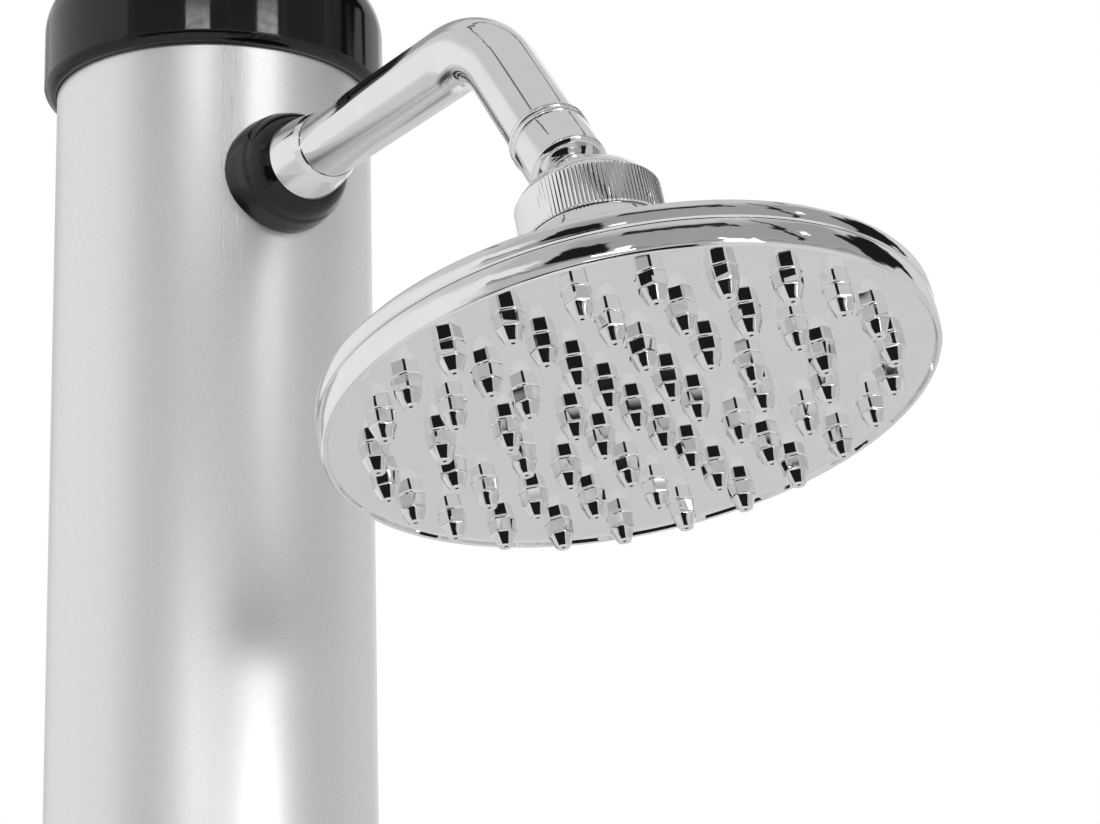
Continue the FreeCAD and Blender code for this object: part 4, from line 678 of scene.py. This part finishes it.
class SHOWER_OT_head(bpy.types.Operator):
    """Builds the coupling nut, the head's back shell and the face with its faceted nozzles"""

    bl_idname = "shower.head"
    bl_label = "Shower head"
    bl_options = {"REGISTER", "UNDO"}

    def execute(self, context):
        settings = context.scene.shower_head
        finish = chrome(context.scene.shower_arm.chrome_colour)
        rim = settings.rim_radius / MM
        self.nut(settings.ribs, finish)
        self.shell(rim, finish)
        self.face(rim, settings.nozzle_height / MM, finish)
        return {"FINISHED"}

    def nut(self, ribs, finish):
        """Turned nut with fine upright grooves: in the ribbed rows the radius falls by the groove's depth times
        max(0, 1 - |distance from the groove's middle| / half width). Its cup is a sphere round the ball."""
        low, mouth = 5.436, 5.686
        outline = np.vstack([
            filleted([(14, -0.8), (10.57, -0.8)], 1), bulged((10.57, -0.8), (9.1, low), SOCKET_RADIUS, 8)[1:],
            filleted([(9.1, low), (9.1, mouth, 0.08), (9.45, mouth)], 3)[1:],
            bulged((9.45, mouth), (18.45, -1.75), 20, 20, side=-1)[1:],
            [(18.6, -2.0), (18.6, -2.35), (18.6, -12.7), (18.25, -13.1), (14, -13.1)]])
        columns = ribs * GROOVE_STEPS
        grid = turned(outline, columns)
        phase = np.arange(columns) % GROOVE_STEPS / GROOVE_STEPS
        groove = GROOVE_DEPTH * np.maximum(0, 1 - np.minimum(phase, 1 - phase) / GROOVE_WIDTH)
        grid[-4:-2, :, :2] *= (1 - groove / 18.6)[None, :, None]
        piece("head_coupling_nut", [(grid, True)], head_place(), "head", ["coupling_nut"], finish)

    def shell(self, rim, finish):
        """Upper band of the rim, a flat cone and a sweep up to the nut, with the wall behind them. The neck holds a
        cup of SOCKET_RADIUS round the ball's centre."""
        outer, seat = rim + 0.3, rim - 2.6
        slope = math.radians(SWEEP_SLOPE)
        across, along = SWEEP_CENTRE
        foot = (across - SWEEP_RADIUS * math.sin(slope), along - SWEEP_RADIUS * math.cos(slope))
        deep = (across - SWEEP_INSIDE * math.sin(slope), along - SWEEP_INSIDE * math.cos(slope))
        outline = np.vstack([
            filleted([
                (seat - 2.3, -51.6), (seat - 2.3, -56.9, 0.2), (seat, -56.9, 0.2), (seat, -53.8, 0.2),
                (rim - 0.35, -53.8, 0.12), (outer - 0.25, -53.45)], 7),
            bulged((outer - 0.25, -53.4), (outer - 0.3, -50.2), 9, 12),
            bulged((outer - 0.34, -50.1), (outer - 1.5, -48.9), 1.6, 8), [foot],
            bulged(foot, (18.1, -13.3), 46.5, 44, side=-1),
            filleted([(18.0, -13.25), (13.9, -13.25, 0.2), (13.9, -1, 0.2), (CUP_MOUTH, -1)], 3),
            bulged((CUP_MOUTH, -1), (5, -9.35), SOCKET_RADIUS, 24, side=-1)[1:],
            [(5, -18), (8.1, -18), (8.1, -22)],
            bulged((19.35, -22), deep, SWEEP_INSIDE, 24)])
        piece(
            "head_back_shell", [(turned(outline, 288), True)], head_place(), "head", ["head_back"],
            finish)

    def face(self, rim, nozzle, finish):
        """Dished face in its rim: depth of the dish = sqrt(bowl² - r²) - sqrt(bowl² - dish²), with the nozzles
        standing on it."""
        dish, level = DISH_RADIUS, FACE_LEVEL
        bowl = (dish ** 2 + DISH_DEPTH ** 2) / (2 * DISH_DEPTH)

        def sink(radius):
            return np.sqrt(bowl ** 2 - radius ** 2) - math.sqrt(bowl ** 2 - dish ** 2)

        across = np.linspace(0, dish, 34)
        outline = np.vstack([
            np.column_stack([across, level + sink(across)]),
            filleted([
                (dish + 0.3, level), (rim - 1.75, level, 0.35), (rim - 1.35, level - 1.1, 0.25),
                (rim - 0.6, level - 1.1, 0.2), (rim - 0.2, level - 0.6)], 6),
            bulged((rim - 0.18, level - 0.55), (rim - 0.18, -54.15), 15, 16),
            filleted([
                (rim - 0.2, -54.1), (rim - 0.5, -53.9, 0.1),
                (rim - 2.5, -53.9, 0.2), (rim - 2.5, -57.5, 0.2), (dish, -57.5)], 6),
            np.column_stack([across, level + FACE_THICKNESS + sink(across)])[::-1][1:]])
        sheets = [(turned(outline, 288), False), *nozzle_field(nozzle, level, sink)]
        piece("spray_face_plate", sheets, head_place(), "head", ["spray_face"], finish)


# ---------------------------------------------------------------- mixer and water inlet
def rounded_bar(root, tip, columns=72):
    """A bar from root to tip, each (drop, out, width, depth). Its section is a superellipse of power 4, its ends
    draw in by the sine of the way along them, and its size changes evenly from root to tip."""
    root, tip = np.array(root, float), np.array(tip, float)
    angle = np.linspace(0, 2 * math.pi, columns, endpoint=False)
    edge = np.sign(np.cos(angle)) * np.sqrt(np.abs(np.cos(angle)))
    face = np.sign(np.sin(angle)) * np.sqrt(np.abs(np.sin(angle)))
    way = np.concatenate([np.linspace(0, 0.03, 8), np.linspace(0.03, 0.95, 30)[1:], np.linspace(0.95, 1, 14)[1:]])
    size = root + way[:, None] * (tip - root)
    close = np.sqrt(np.clip(1 - np.clip((way - 0.95) / 0.05, 0, 1) ** 2, 0, 1))
    close *= np.sqrt(np.clip(1 - np.clip((0.03 - way) / 0.03, 0, 1) ** 2, 0, 1))
    across = (size[:, 2] / 2 * close)[:, None] * edge
    ahead = size[:, 1][:, None] + (size[:, 3] / 2 * close)[:, None] * face
    return np.stack([across, np.broadcast_to(-size[:, :1], across.shape), ahead], -1)


class SHOWER_OT_mixer(bpy.types.Operator):
    """Builds the mixer's wall plate, its body and the lever"""

    bl_idname = "shower.mixer"
    bl_label = "Mixer and lever"
    bl_options = {"REGISTER", "UNDO"}

    def execute(self, context):
        settings = context.scene.shower_mixer
        column = context.scene.shower_column.radius / MM
        finish = chrome(context.scene.shower_arm.chrome_colour)
        self.plate(column, settings.plate_radius / MM, finish)
        refined("mixer_body", "mixer_shell", "root", finish, edge=0.0003)
        refined("lever_plug", "lever_front_plug", "lever", finish, edge=0.0002)
        self.lever(settings.lever_length / MM, finish)
        return {"FINISHED"}

    def plate(self, column, radius, finish):
        front = column + 9
        crown = bulged((front, 23.6), (column + 3, radius), 33, 16)[:, ::-1]
        outline = np.vstack([
            [(19.6, 0)], filleted([(19.6, front - 1), (19.6, front, 0.3), (23.6, front)], 4)[:-1], crown,
            [(radius, column + 2.9), (radius, 0)]])
        grid = turned(outline, 224)
        seated(grid, [0, -1], column + 1.7)
        piece(
            "mixer_wall_plate", [(grid, True)], outward_place(LEVER_PIVOT.z), "root", ["wall_plate"],
            finish)

    def lever(self, length, finish):
        """Domed hub with an inner boss, and the flat bar that hangs from it, in the pivot's own axes."""
        inner, outer, open_angle = 21.6, 24.6, math.radians(72)
        lip = (inner * math.sin(open_angle), inner * math.cos(open_angle))
        rim = (outer * math.sin(open_angle), outer * math.cos(open_angle))
        boss = math.sqrt(inner ** 2 - 6.5 ** 2)
        outline = np.vstack([
            filleted([(0, 12), (6.5, 12, 0.4), (6.5, boss)], 4),
            bulged((6.5, boss), lip, inner, 24, side=-1)[1:],
            filleted([lip, ((lip[0] + rim[0]) / 2, (lip[1] + rim[1]) / 2 - 0.05), rim], 2)[1:-1],
            bulged(rim, (4.2, math.sqrt(outer ** 2 - 4.2 ** 2)), outer, 40),
            [(4.1, 24.0), (4.1, 22.5), (0, 22.5)]])
        sheets = [(turned(outline), False), (rounded_bar((19.6, 15, 15, 9), (length, 27, 11, 6)), False)]
        piece(
            "mixer_lever_handle", sheets, outward_place(LEVER_PIVOT.z, LEVER_PIVOT.x), "lever",
            ["mixer_lever"], finish)


def threaded(start, stop, radius, depth, pitch, columns=120):
    """Spigot with a helical thread: radius - depth · |2 · fraction(h / pitch - a / 360°) - 1|^0.8, faded out at
    both ends."""
    along = np.arange(start, stop, pitch / 12)
    angle = np.linspace(0, 2 * math.pi, columns, endpoint=False)
    part = (along[:, None] / pitch - angle[None, :] / (2 * math.pi)) % 1
    ridge = np.abs(2 * part - 1) ** 0.8
    fade = np.clip((along - start) / (pitch * 1.2), 0, 1) * np.clip((stop - along) / (pitch * 1.2), 0, 1)
    reach = radius - depth * (1 - (1 - ridge) * fade[:, None])
    return np.stack([
        reach * np.cos(angle), reach * np.sin(angle), np.broadcast_to(along[:, None], reach.shape)], -1)


class SHOWER_OT_inlet(bpy.types.Operator):
    """Builds the threaded hose connection at the back of the foot"""

    bl_idname = "shower.inlet"
    bl_label = "Water inlet"
    bl_options = {"REGISTER", "UNDO"}

    def execute(self, context):
        column = context.scene.shower_column.radius / MM
        brass = plain_brass(context.scene.shower_mixer.brass_colour)
        flange = column + 2.1
        low, high = flange + 4, flange + 20
        collar = turned(filleted([
            (10.3, 30), (10.3, flange, 0.1), (17, flange, 0.4), (17, low, 0.6), (12.2, low, 0.4),
            (12.2, low + 0.6)], 5), 120)
        thread = threaded(low + 0.7, high - 1.2, 13.2, 0.95, 1.81)
        mouth = turned(filleted([
            (12.2, high - 1.1), (12.2, high, 0.6), (6.5, high, 0.5), (6.5, 30), (10.3, 30.0)], 4), 120)
        piece(
            "hose_connection", [(np.concatenate([collar, thread, mouth[:-1]]), True)], backward_place(INLET_HEIGHT),
            "root", ["inlet_connector"], brass, crease=40)
        return {"FINISHED"}


class SHOWER_OT_inside(bpy.types.Operator):
    """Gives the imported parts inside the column, the mixer and the head their finishes"""

    bl_idname = "shower.inside"
    bl_label = "Inner parts"
    bl_options = {"REGISTER", "UNDO"}

    def execute(self, context):
        brass = plain_brass(context.scene.shower_mixer.brass_colour)
        rubber = soft_rubber()
        steel = small_steel()
        plastic = grained_plastic("valve_plastic", (0.78, 0.77, 0.74), 0.4, scale=700)
        tank = grained_plastic("tank_plastic", (0.025, 0.025, 0.026), 0.5, scale=500)
        foam = grained_plastic("spacer_foam", (0.09, 0.09, 0.095), 0.85, scale=1600, depth=0.0004)
        pipe = grained_plastic("pipe_plastic", (0.62, 0.62, 0.6), 0.38, scale=800)
        finishes = {
            brass: ("arm_nut", "riser_elbow", "ring_nut", "inlet_nut", "inlet_tee", "cartridge_stem"),
            rubber: ("mixer_gasket", "inlet_seal", "head_seal", "ball_seal"),
            steel: ("arm_washer", "stem_pin", "lever_screw", "inlet_filter"),
            plastic: ("cartridge", "cartridge_carrier", "seat_ring"),
            tank: ("solar_tank",), foam: ("tank_spacers",),
            pipe: ("cold_pipe", "hot_pipe", "mixed_pipe", "tank_feed")}
        for finish, names in finishes.items():
            for name in names:
                mesh = frame["nodes"][name].data
                mesh.materials.clear()
                mesh.materials.append(finish)
        return {"FINISHED"}


# ---------------------------------------------------------------- stage
def math_at(tree, operation, *inputs):
    """A math node; each input is a number or another node's output."""
    made = node_at(tree, "ShaderNodeMath", operation=operation)
    for socket, value in zip(made.inputs, inputs):
        if isinstance(value, (int, float)):
            socket.default_value = value
        else:
            tree.links.new(value, socket)
    return made.outputs[0]


def soft_step(tree, distance, half, soft):
    """1 inside half a width, 0 outside it, with a smooth edge."""
    step = node_at(tree, "ShaderNodeMapRange", interpolation_type="SMOOTHSTEP")
    step.inputs["From Min"].default_value = math.radians(half + soft / 2)
    step.inputs["From Max"].default_value = math.radians(half - soft / 2)
    tree.links.new(distance, step.inputs["Value"])
    return step.outputs["Result"]


def studio_panel(tree, bearing, rise, base, level, middle, half, edge=4.0):
    """Lays a soft-edged panel of one level over the studio, at a bearing and a rise in degrees."""
    turn = math_at(tree, "SUBTRACT", bearing, math.radians(middle[0]))
    turn = math_at(tree, "ABSOLUTE", math_at(tree, "WRAP", turn, math.pi, -math.pi))
    lift = math_at(tree, "ABSOLUTE", math_at(tree, "SUBTRACT", rise, math.radians(middle[1])))
    cover = math_at(tree, "MULTIPLY", soft_step(tree, turn, half[0], edge), soft_step(tree, lift, half[1], edge))
    gap = math_at(tree, "SUBTRACT", level, base)
    return math_at(tree, "MULTIPLY_ADD", cover, gap, base)


class SHOWER_OT_stage(bpy.types.Operator):
    """Builds the floor, the studio's light and the camera"""

    bl_idname = "shower.stage"
    bl_label = "Stage"
    bl_options = {"REGISTER", "UNDO"}

    def execute(self, context):
        settings = context.scene.shower_stage
        self.studio(context.scene)
        self.floor(settings)
        self.lamps()
        self.camera(context.scene, settings.lens)
        context.scene.view_settings.view_transform = "Standard"
        return {"FINISHED"}

    def studio(self, scene):
        """A pale room with soft panels and dark gaps, bent a little by noise; the camera itself sees plain white."""
        world = bpy.data.worlds.new("studio")
        world.use_nodes = True
        scene.world = world
        tree = world.node_tree
        place = node_at(tree, "ShaderNodeTexCoord")
        split = node_at(tree, "ShaderNodeSeparateXYZ")
        tree.links.new(place.outputs["Generated"], split.inputs[0])
        bearing = math_at(tree, "ARCTAN2", split.outputs["Y"], split.outputs["X"])
        rise = math_at(tree, "ARCSINE", split.outputs["Z"])
        level = ROOM_LEVEL
        wave = node_at(tree, "ShaderNodeTexNoise")
        wave.inputs["Scale"].default_value = WAVE_SCALE
        wave.inputs["Detail"].default_value = WAVE_DETAIL
        tree.links.new(place.outputs["Generated"], wave.inputs["Vector"])
        sway = math_at(tree, "SUBTRACT", wave.outputs["Fac"], 0.5)
        wavy_bearing = math_at(tree, "MULTIPLY_ADD", sway, BEARING_SWAY, bearing)
        wavy_rise = math_at(tree, "MULTIPLY_ADD", sway, RISE_SWAY, rise)
        for strength, middle, half, edge in self.panels():
            level = studio_panel(tree, wavy_bearing, wavy_rise, level, strength, middle, half, edge)
        for strength, middle, half, edge in self.tubes():
            level = studio_panel(tree, bearing, rise, level, strength, middle, half, edge)
        path = node_at(tree, "ShaderNodeLightPath")
        background = tree.nodes["Background"]
        rest = math_at(tree, "MULTIPLY", level, math_at(tree, "SUBTRACT", 1.0, path.outputs["Is Camera Ray"]))
        tree.links.new(math_at(tree, "ADD", rest, path.outputs["Is Camera Ray"]), background.inputs["Strength"])
        background.inputs["Color"].default_value = (1, 1, 1, 1)

    def panels(self):
        """(level, (bearing, rise), (half width, half height), edge) of each part of the room."""
        return [
            (0.5, (-10, 10), (80, 60), 14), (0.36, (8, 40), (68, 14), 8),
            (0.62, (0, 80), (200, 20), 2), (0.12, (140, 59), (60, 1), 0.8),
            (0.12, (-150, 59), (50, 1), 0.8), (0.85, (-148, 8), (62, 24), 12),
            (0.45, (170, 12), (14, 12), 6), (0.7, (108, 25), (10, 24), 6),
            (0.98, (134, 18), (8, 24), 5), (0.35, (170, 38), (22, 9), 8),
            (0.35, (170, -32), (22, 9), 8), (0.5, (-38, 20), (30, 5), 5),
            (0.48, (50, 18), (22, 7), 4), (0.85, (-22, 5), (34, 4), 2.5),
            (0.85, (-82, 30), (12, 7), 3), (0.3, (0, 24.2), (85, 2.2), 1.5),
            (0.012, (83, 32), (15, 9), 2.5), (0.012, (-52, 34), (11, 8), 2.5),
            (0.7, (34, -20), (26, 16), 4), (0.7, (-104, -20), (18, 16), 4),
            (0.012, (-38, -17), (38, 14), 2), (1.4, (-33, 27), (4, 3.5), 1.5),
            (1.8, (11, 18.5), (7, 4), 2.5), (2, (11, 27.5), (6, 1.8), 1),
            (1.7, (-34, 6), (8, 4), 2), (3.2, (9, 4), (12, 4), 1.5),
            (0.03, (-10, 53), (26, 3.5), 1.5), (0.02, (37, 44), (1.4, 14), 0.8),
            (1.8, (44, 41), (2.2, 2.5), 1)]

    def tubes(self):
        """Two narrow lights that the cap's flank shows, written as the panels are. The noise doesn't bend them."""
        return [(11, (-36.4, 23), (8, 0.4), 0.2), (11, (10.6, 23), (7, 0.4), 0.2)]

    def floor(self, settings):
        """A plain pale floor."""
        half = settings.floor_size / 2
        mesh = bpy.data.meshes.new("floor")
        mesh.from_pydata([(-half, -half, 0), (half, -half, 0), (half, half, 0), (-half, half, 0)], [], [(0, 1, 2, 3)])
        floor = bpy.data.objects.new("floor", mesh)
        bpy.context.scene.collection.objects.link(floor)
        finish = bpy.data.materials.new("pale_floor")
        finish.use_nodes = True
        tree = finish.node_tree
        shader = tree.nodes["Principled BSDF"]
        shader.inputs["Base Color"].default_value = (*settings.floor_colour, 1)
        shader.inputs["Roughness"].default_value = 0.9
        shader.inputs["Specular IOR Level"].default_value = 0.0
        glow = node_at(tree, "ShaderNodeEmission")
        path = node_at(tree, "ShaderNodeLightPath")
        lift = math_at(tree, "MULTIPLY", path.outputs["Is Camera Ray"], 0.35)
        tree.links.new(lift, glow.inputs["Strength"])
        both = node_at(tree, "ShaderNodeAddShader")
        tree.links.new(shader.outputs[0], both.inputs[0])
        tree.links.new(glow.outputs[0], both.inputs[1])
        tree.links.new(both.outputs[0], tree.nodes["Material Output"].inputs["Surface"])
        mesh.materials.append(finish)

    def lamps(self):
        """Two large soft lamps that reflections don't show."""
        for name, spot, size, power in (
                ("soft_key", (2.4, -2.6, 4.4), 2.6, 90), ("soft_fill", (1.6, 3.4, 3.4), 2.6, 45)):
            light = bpy.data.lights.new(name, "AREA")
            light.size = size
            light.energy = power
            lamp = bpy.data.objects.new(name, light)
            lamp.location = spot
            lamp.rotation_euler = (Vector((0, 0, 1.2)) - Vector(spot)).to_track_quat("-Z", "Y").to_euler()
            lamp.visible_glossy = False
            bpy.context.scene.collection.objects.link(lamp)

    def camera(self, scene, lens):
        """The view of the photograph."""
        data = bpy.data.cameras.new("photo_view")
        data.sensor_width = SENSOR_WIDTH
        data.lens = lens
        camera = bpy.data.objects.new("photo_view", data)
        ahead = Vector(CAMERA_AHEAD).normalized()
        right = Vector(CAMERA_RIGHT).normalized()
        up = right.cross(ahead)
        turn = Matrix((right, up, -ahead)).transposed().to_4x4()
        camera.matrix_world = Matrix.Translation(CAMERA_SPOT) @ turn
        scene.collection.objects.link(camera)
        scene.camera = camera


class VIEW3D_PT_shower(bpy.types.Panel):
    """Lists the shower's parts in the sidebar"""

    bl_label = "Outdoor Shower Post"
    bl_space_type = "VIEW_3D"
    bl_region_type = "UI"
    bl_category = "Shower"

    def draw(self, context):
        for owner, operators in PARTS.items():
            box = self.layout.box()
            settings = getattr(context.scene, owner)
            for name in settings.__annotations__:
                box.prop(settings, name)
            for operator in operators:
                box.operator(operator.bl_idname)


SETTINGS = {
    "shower_foot": ShowerFootSettings, "shower_column": ShowerColumnSettings, "shower_arm": ShowerArmSettings,
    "shower_head": ShowerHeadSettings, "shower_mixer": ShowerMixerSettings, "shower_stage": ShowerStageSettings}
PARTS = {
    "shower_foot": [SHOWER_OT_foot], "shower_column": [SHOWER_OT_column], "shower_arm": [SHOWER_OT_arm],
    "shower_head": [SHOWER_OT_head], "shower_mixer": [SHOWER_OT_mixer, SHOWER_OT_inlet, SHOWER_OT_inside],
    "shower_stage": [SHOWER_OT_stage]}


def register():
    for owner, settings in SETTINGS.items():
        bpy.utils.register_class(settings)
        setattr(bpy.types.Scene, owner, PointerProperty(type=settings))
    for operators in PARTS.values():
        for operator in operators:
            bpy.utils.register_class(operator)
    bpy.utils.register_class(VIEW3D_PT_shower)


def unregister():
    bpy.utils.unregister_class(VIEW3D_PT_shower)
    for operators in reversed(PARTS.values()):
        for operator in reversed(operators):
            bpy.utils.unregister_class(operator)
    for owner, settings in reversed(SETTINGS.items()):
        delattr(bpy.types.Scene, owner)
        bpy.utils.unregister_class(settings)


def main():
    register()
    for build in (
            bpy.ops.shower.foot, bpy.ops.shower.column, bpy.ops.shower.arm, bpy.ops.shower.head, bpy.ops.shower.mixer,
            bpy.ops.shower.inlet, bpy.ops.shower.inside, bpy.ops.shower.stage):
        build()


if __name__ == "__main__":
    main()
